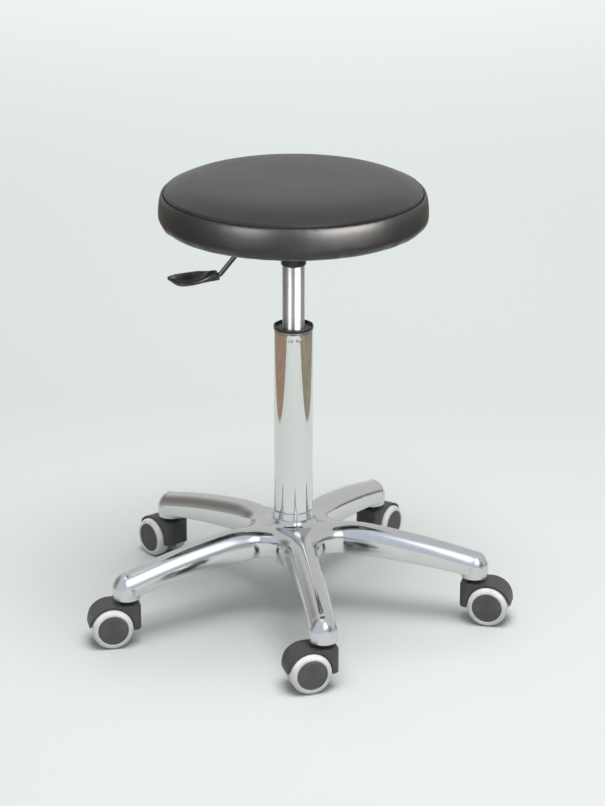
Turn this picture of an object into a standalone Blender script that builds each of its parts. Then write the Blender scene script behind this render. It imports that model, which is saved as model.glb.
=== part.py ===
"""A rolling stool: a round padded seat on a gas-lift column, a cast five-arm base and twin-wheel casters.

Metres, +Z up. The origin is on the floor under the column's axis. The stool's front is -Y, and the
release lever lies along -X.
"""

import math

import bmesh
import bpy
from mathutils import Matrix, Vector

# Sides of the round pieces, from the widest to the smallest
SEAT_SIDES = 36
COLUMN_SIDES = 28
TUBE_SIDES = 24
WHEEL_SIDES = 20
BOSS_SIDES = 16
RING_SIDES = 16
GROMMET_SIDES = 12
PIN_SIDES = 10
BOLT_SIDES = 8
HEAD_SIDES = 6

# Clearance between pieces that seat on, run in or pass through each other
FIT = 0.0003

# Points of one mesh closer than this are the same point
MERGE = 0.00002

# Caster wheels, hood and stem
WHEEL_RADIUS = 0.0264
WHEEL_INNER_FACE = 0.0074
TYRE_WIDTH = 0.0168
TYRE_SEAT_RADIUS = 0.0194
TYRE_SHOULDER = 0.0048
CORE_RECESS = 0.0004
CORE_EDGE = 0.0007
AXLE_RADIUS = 0.003
AXLE_COVER = 0.0035
CASTER_TRAIL = 0.0205
HOOD_GAP = 0.001
HOOD_WALL = 0.0021
HOOD_HALF_WIDTH = 0.0185
HOOD_BACK = 0.0168
HOOD_BACK_LIFT = 0.0225
HOOD_CHAMFER = 0.002
HOOD_BACK_ROUND = 0.004
HOOD_PLAN_ROUND = 0.0095
HOOD_FRONT_ROUND = 0.009
HOOD_LIP = 0.0045
HOOD_TIP_TURN = 4.0
AXLE_BOSS_RADIUS = 0.0085
STEM_RADIUS = 0.005
STEM_DEPTH = 0.023
STEM_COLLAR_RADIUS = 0.009
STEM_COLLAR_HEIGHT = 0.0047
STEM_TOP_RADIUS = 0.0055
STEM_TOP_LENGTH = 0.022
STEM_TAPER = 0.0015

# Each caster: its place round the base, counted in arms from the front one, and the way it trails
CASTERS = (
    ("front", 0, 196.7),
    ("right", 1, -12.5),
    ("back_right", 2, 58.0),
    ("back_left", 3, 129.8),
    ("left", 4, 191.4),
)

# Cast base
ARM_COUNT = 5
FRONT_ARM_ANGLE = -81.2
TIP_RADIUS = 0.237
ARM_TIP_HALF_WIDTH = 0.017
ARM_HUB_HALF_WIDTH = 0.0186
ARM_FILLET = 0.034
ARM_RISE = 0.0382
ARM_ARCH = 0.715
ARM_DOME = 0.0158
SKIRT_AT_TIP = 0.0139
SKIRT_AT_HUB = 0.0233
TIP_BOSS_RADIUS = 0.0178
TIP_BOSS_HEIGHT = 0.0175
TIP_LEDGE = 0.001
ARM_WALL = 0.0034
POCKET_END_WALL = 0.003
HUB_DOME = 0.008
HUB_BLEND_START = 0.036
HUB_BLEND_END = 0.095
HUB_BOSS_RADIUS = 0.028
HUB_DEPTH = 0.063
NECK_RADIUS = 0.0257
NECK_HEIGHT = 0.0155
NECK_FILLET = 0.006
NECK_EDGE = 0.0008

# Column and its guide bush
COLUMN_RADIUS = 0.025
COLUMN_LOWER_RADIUS = 0.023
COLUMN_WALL = 0.0017
COLUMN_LENGTH = 0.2445
COLUMN_PROUD = 0.011
COLUMN_FLOOR_LIFT = 0.003
COLUMN_FLOOR = 0.003
COLUMN_SHOULDER = 0.004
COLUMN_EDGE = 0.0006
BUSH_RIM_HEIGHT = 0.0042
BUSH_RIM_PROUD = 0.0003
BUSH_RIM_WALL = 0.0024
BUSH_RECESS = 0.0032
BUSH_LENGTH = 0.072
BUSH_NOTCHES = 12
BUSH_NOTCH_WIDTH = 0.0072
BUSH_NOTCH_DEPTH = 0.003
BUSH_NOTCH_SKIN = 0.0009

# Gas spring
PRESSURE_RADIUS = 0.014
PRESSURE_WALL = 0.0015
PRESSURE_LENGTH = 0.277
PRESSURE_END = 0.008
PRESSURE_EDGE = 0.001
TAPER_LENGTH = 0.0315
TAPER_DROP = 0.0008
VALVE_BLOCK = 0.022
BUTTON_RADIUS = 0.004
BUTTON_DEPTH = 0.016
BUTTON_DOME = 0.0006
ROD_RADIUS = 0.005
ROD_STUD_RADIUS = 0.003
ROD_FOOT_RADIUS = 0.004
ROD_FOOT_PROUD = 0.0055
PISTON_HEIGHT = 0.012
PISTON_REACH = 0.093
BEARING_RADIUS = 0.013
BEARING_HEIGHT = 0.0054
BEARING_GROOVE = 0.0012
BUMP_RADIUS = 0.011
BUMP_HEIGHT = 0.024
BUMP_EDGE = 0.002
CLIP_RADIUS = 0.0085
CLIP_THICKNESS = 0.0014

# Seat height at rest: the bare length of pressure tube between the bush and the socket
SEAT_LIFT = 0.0782

# Socket housing, seat plate and bolts
SOCKET_RADIUS = 0.016
SOCKET_LENGTH = 0.0245
SOCKET_ROUND = 0.003
HOUSING_HALF = 0.036
HOUSING_HEIGHT = 0.024
HOUSING_WALL = 0.0025
HOUSING_FLOOR = 0.003
HOUSING_CORNER = 0.006
PLATE_HALF = 0.075
PLATE_THICKNESS = 0.003
PLATE_CORNER = 0.014
BOLT_OFFSET = 0.055
BOLT_RADIUS = 0.003
BOLT_LENGTH = 0.011
BOLT_HEAD_RADIUS = 0.0058
BOLT_HEAD_HEIGHT = 0.004

# Release lever
LEVER_RADIUS = 0.0031
LEVER_INNER_END = 0.007
LEVER_HEAD_GAP = 0.0051
LEVER_BEND_OUT = 0.0146
LEVER_DROP = 0.0529
LEVER_SLOPE = 51.8
LEVER_BEND_RADIUS = 0.007
LEVER_DIP = 9.0
GROMMET_RADIUS = 0.006
GROMMET_FLANGE = 0.0078
GROMMET_LIP = 0.0018
GROMMET_FLARE = 0.0006
PADDLE_LENGTH = 0.0638
PADDLE_NECK_RADIUS = 0.0066
PADDLE_NECK_SLANT = 0.28
PADDLE_NECK_GAP = 0.0003
PADDLE_SOCKET = 0.012
PADDLE_ROLL = 18.0
PADDLE_HALF_WIDTH = 0.0142
PADDLE_RIM = 0.0018
PADDLE_RIM_LIFT = 0.0022
PADDLE_DISH = 0.0014
PADDLE_KEEL = 0.004
PADDLE_FULL_DEPTH = 0.008

# Along the paddle, as shares of its length: the far and near edges as shares of its half width, and how far
# the round neck has turned into the dished blade
PADDLE_STATIONS = (
    (0.0, 0.465, 0.465, 0.0),
    (0.15, 0.535, 0.52, 0.0),
    (0.27, 0.718, 0.704, 0.45),
    (0.38, 0.831, 0.887, 0.8),
    (0.5, 0.866, 1.0, 1.0),
    (0.66, 0.866, 0.972, 1.0),
    (0.78, 0.859, 0.761, 1.0),
    (0.86, 0.845, 0.394, 1.0),
    (0.94, 0.824, -0.141, 1.0),
    (0.985, 0.775, -0.394, 1.0),
    (1.0, 0.718, -0.479, 1.0),
)

# Places of a slice's points round the paddle's neck, in degrees from the near side over the top
PADDLE_TURNS = (0, 25, 45, 67, 90, 113, 135, 155, 180, 216, 243, 270, 297, 324)

# Cushion
SEAT_RADIUS = 0.169
BAND_BULGE = 0.007
SEAM_DIP = 0.001
BAND_HEIGHT = 0.0453
BULGE_DROP = 0.029
BAND_TUCK = 0.02
CROWN = 0.0175
CROWN_FLAT_RADIUS = 0.04
CROWN_EASE = 5.0
COVER_THICKNESS = 0.0014
HEM_TURN = 0.012
DUST_COVER_THICKNESS = 0.0009
BOARD_INSET = 0.02
BOARD_THICKNESS = 0.012

# Cushion radii that follow from the seat's own
SEAM_RADIUS = SEAT_RADIUS - BAND_BULGE
BOARD_RADIUS = SEAM_RADIUS - BOARD_INSET
HEM_INNER_RADIUS = BOARD_RADIUS - HEM_TURN

# Heights that follow from the sizes above, from the floor up
AXLE_HEIGHT = WHEEL_RADIUS * math.cos(math.pi / WHEEL_SIDES)
CAVITY_RADIUS = WHEEL_RADIUS + HOOD_GAP
HOOD_RADIUS = CAVITY_RADIUS + HOOD_WALL
HOOD_TOP = AXLE_HEIGHT + HOOD_RADIUS
WEB_HALF = WHEEL_INNER_FACE - FIT
BOSS_BOTTOM = HOOD_TOP + STEM_COLLAR_HEIGHT + 2 * FIT
TIP_CREASE = BOSS_BOTTOM + TIP_BOSS_HEIGHT
HUB_CREASE = TIP_CREASE + ARM_RISE
PLATEAU = HUB_CREASE + HUB_DOME
HUB_TOP = PLATEAU + NECK_HEIGHT
HUB_BOTTOM = HUB_TOP - HUB_DEPTH
COLUMN_BOTTOM = HUB_BOTTOM - COLUMN_PROUD
COLUMN_SEAT = HUB_TOP + FIT
COLUMN_TOP = COLUMN_SEAT + COLUMN_LENGTH
COLUMN_FLOOR_TOP = COLUMN_BOTTOM + COLUMN_FLOOR_LIFT + COLUMN_FLOOR
BUSH_TOP = COLUMN_TOP + FIT + BUSH_RIM_HEIGHT
SOCKET_BOTTOM = BUSH_TOP + SEAT_LIFT
PRESSURE_TOP = SOCKET_BOTTOM + TAPER_LENGTH
PRESSURE_BOTTOM = SOCKET_BOTTOM - PRESSURE_LENGTH
HOUSING_BOTTOM = SOCKET_BOTTOM + SOCKET_LENGTH
HOUSING_TOP = HOUSING_BOTTOM + HOUSING_HEIGHT
PLATE_BOTTOM = HOUSING_TOP + FIT
PLATE_TOP = PLATE_BOTTOM + PLATE_THICKNESS
BOARD_BOTTOM = PLATE_TOP + DUST_COVER_THICKNESS + 2 * FIT
BOARD_TOP = BOARD_BOTTOM + BOARD_THICKNESS
CUSHION_BOTTOM = BOARD_BOTTOM - FIT - COVER_THICKNESS
SEAM_HEIGHT = CUSHION_BOTTOM + BAND_HEIGHT
SEAT_TOP = SEAM_HEIGHT + CROWN
LEVER_HEIGHT = PLATE_BOTTOM - LEVER_HEAD_GAP - LEVER_RADIUS
BUTTON_TOP = LEVER_HEIGHT - LEVER_RADIUS - FIT
BEARING_BOTTOM = COLUMN_FLOOR_TOP + FIT
BEARING_TOP = BEARING_BOTTOM + BEARING_HEIGHT
PISTON_BOTTOM = PRESSURE_BOTTOM + PISTON_REACH


# Scene and mesh helpers

def clear_scene():
    for obj in list(bpy.data.objects):
        bpy.data.objects.remove(obj, do_unlink=True)


def make_material(name, colour, roughness, metallic):
    material = bpy.data.materials.new(name)
    material.use_nodes = True
    shader = material.node_tree.nodes["Principled BSDF"]
    shader.inputs["Base Color"].default_value = (*colour, 1.0)
    shader.inputs["Roughness"].default_value = roughness
    shader.inputs["Metallic"].default_value = metallic
    return material


def mesh_from(bm, name):
    """Turn a bmesh into a mesh with outward faces, smooth except at sharp edges."""
    bmesh.ops.remove_doubles(bm, verts=bm.verts, dist=MERGE)
    bmesh.ops.recalc_face_normals(bm, faces=bm.faces)
    mesh = bpy.data.meshes.new(name)
    bm.to_mesh(mesh)
    bm.free()
    mesh.shade_smooth()
    mesh.set_sharp_from_angle(angle=math.radians(40))
    return mesh


def add_object(name, mesh, material, parent=None, rotation=(0.0, 0.0, 0.0), location=(0.0, 0.0, 0.0)):
    obj = bpy.data.objects.new(name, mesh)
    bpy.context.collection.objects.link(obj)
    if not mesh.materials:
        mesh.materials.append(material)
    obj.parent = parent
    obj.location = location
    obj.rotation_euler = rotation
    return obj


def add_empty(name, location, turn=0.0, parent=None):
    empty = bpy.data.objects.new(name, None)
    bpy.context.collection.objects.link(empty)
    empty.parent = parent
    empty.location = location
    empty.rotation_euler = (0.0, 0.0, turn)
    return empty


def lathe(profile, sides, phase=0.0, closed=True):
    """Spin a profile of (radius, height) points about Z.

    A closed profile is a ring's section. An open one starts and ends on the axis and makes a solid.
    """
    bm = bmesh.new()
    points = [bm.verts.new((r * math.cos(phase), r * math.sin(phase), z)) for r, z in profile]
    edges = [bm.edges.new(pair) for pair in zip(points, points[1:])]
    if closed:
        edges.append(bm.edges.new((points[-1], points[0])))
    bmesh.ops.spin(bm, geom=points + edges, cent=(0, 0, 0), axis=(0, 0, 1), angle=2 * math.pi,
                   steps=sides, use_merge=True, use_duplicate=False)
    bmesh.ops.remove_doubles(bm, verts=bm.verts, dist=MERGE)
    bmesh.ops.dissolve_degenerate(bm, dist=MERGE, edges=bm.edges)
    return bm


def cylinder(radius, low, high, sides, phase=0.0):
    return lathe([(0, high), (radius, high), (radius, low), (0, low)], sides, phase, closed=False)


def prism(outline, depth):
    """Extrude a flat outline of (x, y) points upwards from z = 0."""
    bm = bmesh.new()
    face = bm.faces.new([bm.verts.new((x, y, 0.0)) for x, y in outline])
    grown = bmesh.ops.extrude_face_region(bm, geom=[face])
    top = [item for item in grown["geom"] if isinstance(item, bmesh.types.BMVert)]
    bmesh.ops.translate(bm, verts=top, vec=(0, 0, depth))
    return bm


def loft(sections):
    """Join equal rings of points, end to end, into one closed solid."""
    bm = bmesh.new()
    rings = [[bm.verts.new(point) for point in section] for section in sections]
    for near, far in zip(rings, rings[1:]):
        count = len(near)
        for i in range(count):
            j = (i + 1) % count
            bm.faces.new((near[i], near[j], far[j], far[i]))
    bm.faces.new(rings[0])
    bm.faces.new(rings[-1])
    return bm


def arc(centre, radius, start, end, steps):
    """Points on an arc, angles in degrees."""
    cx, cy = centre
    turns = [math.radians(start + (end - start) * i / steps) for i in range(steps + 1)]
    return [(cx + radius * math.cos(t), cy + radius * math.sin(t)) for t in turns]


def rounded_square(half, corner, steps=3):
    inner = half - corner
    points = []
    for quarter, (sx, sy) in enumerate(((1, 1), (-1, 1), (-1, -1), (1, -1))):
        points += arc((sx * inner, sy * inner), corner, 90 * quarter, 90 * quarter + 90, steps)
    return points


def combine(target, tool_mesh, operation):
    """Boolean a tool mesh into a target mesh and return the result as a new mesh."""
    body = bpy.data.objects.new("body", target)
    tool = bpy.data.objects.new("tool", tool_mesh)
    for obj in (body, tool):
        bpy.context.collection.objects.link(obj)
    modifier = body.modifiers.new("combine", "BOOLEAN")
    modifier.object = tool
    modifier.operation = operation
    depsgraph = bpy.context.evaluated_depsgraph_get()
    result = bmesh.new()
    result.from_object(body, depsgraph)
    for obj in (body, tool):
        bpy.data.objects.remove(obj, do_unlink=True)
    bmesh.ops.remove_doubles(result, verts=result.verts, dist=MERGE)
    bmesh.ops.dissolve_degenerate(result, dist=MERGE, edges=result.edges)
    return mesh_from(result, target.name)


def cut(target, *tools):
    return combine(target, gather(tools), "DIFFERENCE")


def join(target, *tools):
    return combine(target, gather(tools), "UNION")


def gather(tools):
    """Put several separate bodies, each a bmesh with its placing, into one tool mesh."""
    bodies = bmesh.new()
    for bm, matrix in tools:
        bmesh.ops.transform(bm, matrix=matrix, verts=bm.verts)
        bodies.from_mesh(mesh_from(bm, "tool"))
    return mesh_from(bodies, "tools")


def turn_about(axis, degrees):
    return Matrix.Rotation(math.radians(degrees), 4, axis)


# Cast base

def arm_angle(index):
    return math.radians(FRONT_ARM_ANGLE + index * 360 / ARM_COUNT)


def half_sector():
    return math.pi / ARM_COUNT


def fillet_reach():
    """Distance along an arm where its straight side ends and the fillet to the next arm starts."""
    return (ARM_HUB_HALF_WIDTH + ARM_FILLET) / math.tan(half_sector())


def arm_share(x):
    """0 at the tip, 1 where the fillet starts, and a little more towards the middle."""
    return (TIP_RADIUS - x) / (TIP_RADIUS - fillet_reach())


def arm_half_width(x):
    return ARM_TIP_HALF_WIDTH + (ARM_HUB_HALF_WIDTH - ARM_TIP_HALF_WIDTH) * min(1.0, arm_share(x))


def crease_height(x):
    """Height of the line between the domed top and the upright skirt, arched from tip to hub."""
    share = arm_share(x) / arm_share(0.0)
    return TIP_CREASE + ARM_RISE * ((1 + ARM_ARCH) * share - ARM_ARCH * share * share)


def dome_height(x):
    share = (x - HUB_BLEND_START) / (HUB_BLEND_END - HUB_BLEND_START)
    share = max(0.0, min(1.0, share))
    smooth = share * share * (3 - 2 * share)
    return HUB_DOME + (ARM_DOME - HUB_DOME) * smooth


def skirt_depth(x):
    return SKIRT_AT_TIP + (SKIRT_AT_HUB - SKIRT_AT_TIP) * min(1.0, arm_share(x))


def half_outline(fillet_steps=3, side_steps=6, tip_steps=4):
    """One side of an arm, from the middle of the fillet out to the tip.

    Gives pairs: a point on the outline, and the point on the arm's centre line that it belongs to.
    """
    middle = half_sector()
    centre_distance = (ARM_HUB_HALF_WIDTH + ARM_FILLET) / math.sin(middle)
    centre = (centre_distance * math.cos(middle), centre_distance * math.sin(middle))
    reach = fillet_reach()
    fillet = arc(centre, ARM_FILLET, 180 + math.degrees(middle), 270, fillet_steps)
    pairs = [(point, (reach * i / fillet_steps, 0.0)) for i, point in enumerate(fillet)]
    for i in range(1, side_steps + 1):
        x = reach + (TIP_RADIUS - reach) * i / side_steps
        pairs.append(((x, arm_half_width(x)), (x, 0.0)))
    for point in arc((TIP_RADIUS, 0.0), ARM_TIP_HALF_WIDTH, 90, 0, tip_steps)[1:]:
        pairs.append((point, (TIP_RADIUS, 0.0)))
    return pairs


def base_outline():
    """The whole star's outline with its centre-line points, once round."""
    side = half_outline()
    mirrored = [((x, -y), spine) for (x, y), spine in side]
    arm = mirrored + side[-2:0:-1]
    loop = []
    for index in range(ARM_COUNT):
        turn = Matrix.Rotation(arm_angle(index), 2)
        loop += [(turn @ Vector(edge), turn @ Vector(spine)) for edge, spine in arm]
    return loop


def dome_point(edge, spine, share):
    """A point of the domed top: share 1 is on the outline and 0 on the arm's centre line."""
    flat = spine + (edge - spine) * share
    across = (edge - spine).length
    rise = min(1.0, across * (1 - share) / min(across, ARM_HUB_HALF_WIDTH))
    along = spine.length + (flat.length - spine.length) * (1 - min(1.0, spine.length / fillet_reach()))
    height = crease_height(along) + dome_height(along) * math.sqrt(1 - (1 - rise) ** 2)
    return Vector((flat.x, flat.y, height))


def skirt_point(edge, spine, share):
    flat = spine + (edge - spine) * share
    along = spine.length + (edge.length - spine.length) * (1 - min(1.0, spine.length / fillet_reach()))
    return Vector((flat.x, flat.y, crease_height(along) - skirt_depth(along)))


def star_body():
    """The five arms as one closed body: domed top, upright skirt and plain underside."""
    loop = base_outline()
    bm = bmesh.new()
    rings = []
    for share in (0.0, 0.36, 0.66, 0.88, 1.0):
        rings.append([bm.verts.new(dome_point(edge, spine, share)) for edge, spine in loop])
    for share in (1.0, 0.0):
        rings.append([bm.verts.new(skirt_point(edge, spine, share)) for edge, spine in loop])
    count = len(loop)
    for upper, lower in zip(rings, rings[1:]):
        for i in range(count):
            j = (i + 1) % count
            bm.faces.new((upper[i], lower[i], lower[j], upper[j]))
    bmesh.ops.remove_doubles(bm, verts=bm.verts, dist=MERGE)
    bmesh.ops.dissolve_degenerate(bm, dist=MERGE, edges=bm.edges)
    bm.normal_update()
    bmesh.ops.triangulate(bm, faces=[face for face in bm.faces if abs(face.normal.z) > 1e-3])
    return mesh_from(bm, "star_base")


def pocket_section(x, steps=4):
    """A slice of the hollow under an arm, square to the arm."""
    half = arm_half_width(x) - ARM_WALL
    top = crease_height(x)
    rise = dome_height(x) - ARM_WALL
    below = top - skirt_depth(x) - ARM_WALL
    roof = arc((0.0, 0.0), 1.0, 0, 180, steps)
    points = [(x, half * c, top + rise * s) for c, s in roof]
    return points + [(x, -half, below), (x, half, below)]


def hub_profile():
    fillet = arc((NECK_RADIUS + NECK_FILLET, PLATEAU + NECK_FILLET), NECK_FILLET, 180, 265, 4)
    return [
        (0, HUB_TOP),
        (NECK_RADIUS - NECK_EDGE, HUB_TOP),
        (NECK_RADIUS, HUB_TOP - NECK_EDGE),
        *fillet,
        (HUB_BOSS_RADIUS, HUB_CREASE),
        (HUB_BOSS_RADIUS, HUB_BOTTOM),
        (0, HUB_BOTTOM),
    ]


def star_base_mesh():
    start = HUB_BOSS_RADIUS + ARM_WALL
    end = TIP_RADIUS - TIP_BOSS_RADIUS - POCKET_END_WALL
    stations = [start + (end - start) * i / 5 for i in range(6)]
    socket_top = BOSS_BOTTOM + STEM_TOP_LENGTH + FIT
    solids = [(lathe(hub_profile(), COLUMN_SIDES, closed=False), Matrix())]
    bore = cylinder(COLUMN_LOWER_RADIUS + FIT, HUB_BOTTOM - FIT, HUB_TOP + FIT, COLUMN_SIDES)
    hollows = [(bore, Matrix())]
    for index in range(ARM_COUNT):
        turn = Matrix.Rotation(arm_angle(index), 4, "Z")
        tip = turn @ Matrix.Translation((TIP_RADIUS, 0, 0))
        solids.append((cylinder(TIP_BOSS_RADIUS, BOSS_BOTTOM, TIP_CREASE - TIP_LEDGE, BOSS_SIDES), tip))
        hollows.append((loft([pocket_section(x) for x in stations]), turn))
        socket = cylinder(STEM_TOP_RADIUS + FIT, BOSS_BOTTOM - FIT, socket_top, PIN_SIDES)
        hollows.append((socket, tip))
    return cut(join(star_body(), *solids), *hollows)


# Column and gas spring

def column_tube_mesh():
    inner = COLUMN_RADIUS - COLUMN_WALL
    lower_inner = COLUMN_LOWER_RADIUS - COLUMN_WALL
    hole = ROD_FOOT_RADIUS + FIT
    floor_bottom = COLUMN_FLOOR_TOP - COLUMN_FLOOR
    return mesh_from(lathe([
        (COLUMN_RADIUS - COLUMN_EDGE, COLUMN_TOP),
        (COLUMN_RADIUS, COLUMN_TOP - COLUMN_EDGE),
        (COLUMN_RADIUS, COLUMN_SEAT + COLUMN_EDGE),
        (COLUMN_RADIUS - COLUMN_EDGE, COLUMN_SEAT),
        (COLUMN_LOWER_RADIUS, COLUMN_SEAT),
        (COLUMN_LOWER_RADIUS, COLUMN_BOTTOM),
        (lower_inner, COLUMN_BOTTOM),
        (lower_inner, floor_bottom),
        (hole, floor_bottom),
        (hole, COLUMN_FLOOR_TOP),
        (lower_inner, COLUMN_FLOOR_TOP),
        (lower_inner, COLUMN_SEAT),
        (inner, COLUMN_SEAT + COLUMN_SHOULDER),
        (inner, COLUMN_TOP),
    ], COLUMN_SIDES), "column_tube")


def guide_bush_mesh():
    rim = COLUMN_RADIUS + BUSH_RIM_PROUD
    sleeve = COLUMN_RADIUS - COLUMN_WALL - FIT
    bore = PRESSURE_RADIUS + FIT
    ledge = BUSH_TOP - BUSH_RECESS
    mesh = mesh_from(lathe([
        (rim, BUSH_TOP),
        (rim, COLUMN_TOP + FIT),
        (sleeve, COLUMN_TOP + FIT),
        (sleeve, COLUMN_TOP - BUSH_LENGTH),
        (bore, COLUMN_TOP - BUSH_LENGTH),
        (bore, ledge),
        (rim - BUSH_RIM_WALL, ledge),
        (rim - BUSH_RIM_WALL, BUSH_TOP),
    ], TUBE_SIDES), "guide_bush")
    half = BUSH_NOTCH_WIDTH / 2
    reach = rim - BUSH_NOTCH_SKIN - PRESSURE_RADIUS
    outline = [(0, -half), (reach, -half), (reach, half), (0, half)]
    lift = Matrix.Translation((PRESSURE_RADIUS, 0, BUSH_TOP - BUSH_NOTCH_DEPTH))
    notches = []
    for index in range(BUSH_NOTCHES):
        turn = turn_about("Z", 360 * (index + 0.5) / BUSH_NOTCHES)
        notches.append((prism(outline, BUSH_RIM_HEIGHT), turn @ lift))
    return cut(mesh, *notches)


def pressure_tube_mesh():
    inner = PRESSURE_RADIUS - PRESSURE_WALL
    rod_hole = ROD_RADIUS + FIT
    button_hole = BUTTON_RADIUS + FIT
    return mesh_from(lathe([
        (PRESSURE_RADIUS - TAPER_DROP, PRESSURE_TOP),
        (PRESSURE_RADIUS, SOCKET_BOTTOM),
        (PRESSURE_RADIUS, PRESSURE_BOTTOM + PRESSURE_EDGE),
        (PRESSURE_RADIUS - PRESSURE_EDGE, PRESSURE_BOTTOM),
        (rod_hole, PRESSURE_BOTTOM),
        (rod_hole, PRESSURE_BOTTOM + PRESSURE_END),
        (inner, PRESSURE_BOTTOM + PRESSURE_END),
        (inner, PRESSURE_TOP - VALVE_BLOCK),
        (button_hole, PRESSURE_TOP - VALVE_BLOCK),
        (button_hole, PRESSURE_TOP),
    ], TUBE_SIDES), "pressure_tube")


def release_button_mesh():
    return mesh_from(lathe([
        (0, BUTTON_TOP),
        (BUTTON_RADIUS - BUTTON_DOME, BUTTON_TOP),
        (BUTTON_RADIUS, BUTTON_TOP - BUTTON_DOME),
        (BUTTON_RADIUS, PRESSURE_TOP - BUTTON_DEPTH),
        (0, PRESSURE_TOP - BUTTON_DEPTH),
    ], RING_SIDES, closed=False), "release_button")


def piston_rod_mesh():
    stud_top = PISTON_BOTTOM + PISTON_HEIGHT
    foot = COLUMN_BOTTOM + COLUMN_FLOOR_LIFT - ROD_FOOT_PROUD
    return mesh_from(lathe([
        (0, stud_top),
        (ROD_STUD_RADIUS, stud_top),
        (ROD_STUD_RADIUS, PISTON_BOTTOM - FIT),
        (ROD_RADIUS, PISTON_BOTTOM - FIT),
        (ROD_RADIUS, BEARING_TOP + FIT),
        (ROD_FOOT_RADIUS, BEARING_TOP + FIT),
        (ROD_FOOT_RADIUS, foot),
        (0, foot),
    ], RING_SIDES, closed=False), "piston_rod")


def ring_mesh(name, inner, outer, low, high, edge=0.0):
    """A plain ring about the column's axis, its outer corners broken by edge."""
    profile = [(inner, high), (outer - edge, high), (outer, high - edge), (outer, low + edge)]
    profile += [(outer - edge, low), (inner, low)]
    if not edge:
        profile = [(inner, high), (outer, high), (outer, low), (inner, low)]
    return mesh_from(lathe(profile, RING_SIDES), name)


def thrust_bearing_mesh():
    inner = ROD_FOOT_RADIUS + FIT
    middle = (BEARING_BOTTOM + BEARING_TOP) / 2
    return mesh_from(lathe([
        (inner, BEARING_TOP),
        (BEARING_RADIUS, BEARING_TOP),
        (BEARING_RADIUS, middle + BEARING_GROOVE),
        (BEARING_RADIUS - BEARING_GROOVE, middle),
        (BEARING_RADIUS, middle - BEARING_GROOVE),
        (BEARING_RADIUS, BEARING_BOTTOM),
        (inner, BEARING_BOTTOM),
    ], RING_SIDES), "thrust_bearing")


# Seat plate, socket and bolts

def socket_housing_mesh():
    mesh = mesh_from(prism(rounded_square(HOUSING_HALF, HOUSING_CORNER), HOUSING_HEIGHT), "socket_housing")
    mesh.transform(Matrix.Translation((0, 0, HOUSING_BOTTOM)))
    hollow = prism(rounded_square(HOUSING_HALF - HOUSING_WALL, HOUSING_CORNER - HOUSING_WALL), HOUSING_HEIGHT)
    mesh = cut(mesh, (hollow, Matrix.Translation((0, 0, HOUSING_BOTTOM + HOUSING_FLOOR))))
    mouth = arc((SOCKET_RADIUS - SOCKET_ROUND, SOCKET_BOTTOM + SOCKET_ROUND), SOCKET_ROUND, 0, -90, 3)
    socket_top = PRESSURE_TOP - FIT
    outside = [(0, socket_top), (SOCKET_RADIUS, socket_top), *mouth, (0, SOCKET_BOTTOM)]
    socket = lathe(outside, TUBE_SIDES, closed=False)
    mesh = join(mesh, (socket, Matrix()))
    above = PRESSURE_TOP + FIT
    bore = lathe([
        (0, above),
        (PRESSURE_RADIUS - TAPER_DROP + FIT, above),
        (PRESSURE_RADIUS + FIT, SOCKET_BOTTOM - FIT),
        (0, SOCKET_BOTTOM - FIT),
    ], TUBE_SIDES, closed=False)
    window = cylinder(GROMMET_RADIUS + FIT, -HOUSING_WALL, 2 * HOUSING_WALL, GROMMET_SIDES)
    through_wall = Matrix.Translation((-HOUSING_HALF, 0, LEVER_HEIGHT)) @ turn_about("Y", 90)
    return cut(mesh, (bore, Matrix()), (window, through_wall))


def bolt_places():
    return [(sx * BOLT_OFFSET, sy * BOLT_OFFSET) for sx in (1, -1) for sy in (1, -1)]


def drill(mesh, low, high):
    """Cut the four bolt holes in a mesh between two heights."""
    holes = []
    for x, y in bolt_places():
        hole = cylinder(BOLT_RADIUS + FIT, low, high, BOLT_SIDES)
        holes.append((hole, Matrix.Translation((x, y, 0))))
    return cut(mesh, *holes)


def seat_plate_mesh():
    mesh = mesh_from(prism(rounded_square(PLATE_HALF, PLATE_CORNER), PLATE_THICKNESS), "seat_plate")
    mesh.transform(Matrix.Translation((0, 0, PLATE_BOTTOM)))
    return drill(mesh, PLATE_BOTTOM - FIT, PLATE_TOP + FIT)


def plate_bolt_mesh():
    """A hexagon bolt standing head down, at the height it has in the seat."""
    head_top = PLATE_BOTTOM - FIT
    head_bottom = head_top - BOLT_HEAD_HEIGHT
    head = mesh_from(cylinder(BOLT_HEAD_RADIUS, head_bottom, head_top, HEAD_SIDES), "plate_bolt")
    shank = cylinder(BOLT_RADIUS, head_top - BOLT_HEAD_HEIGHT / 2, PLATE_TOP + BOLT_LENGTH, BOLT_SIDES)
    return join(head, (shank, Matrix()))


# Release lever

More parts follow.
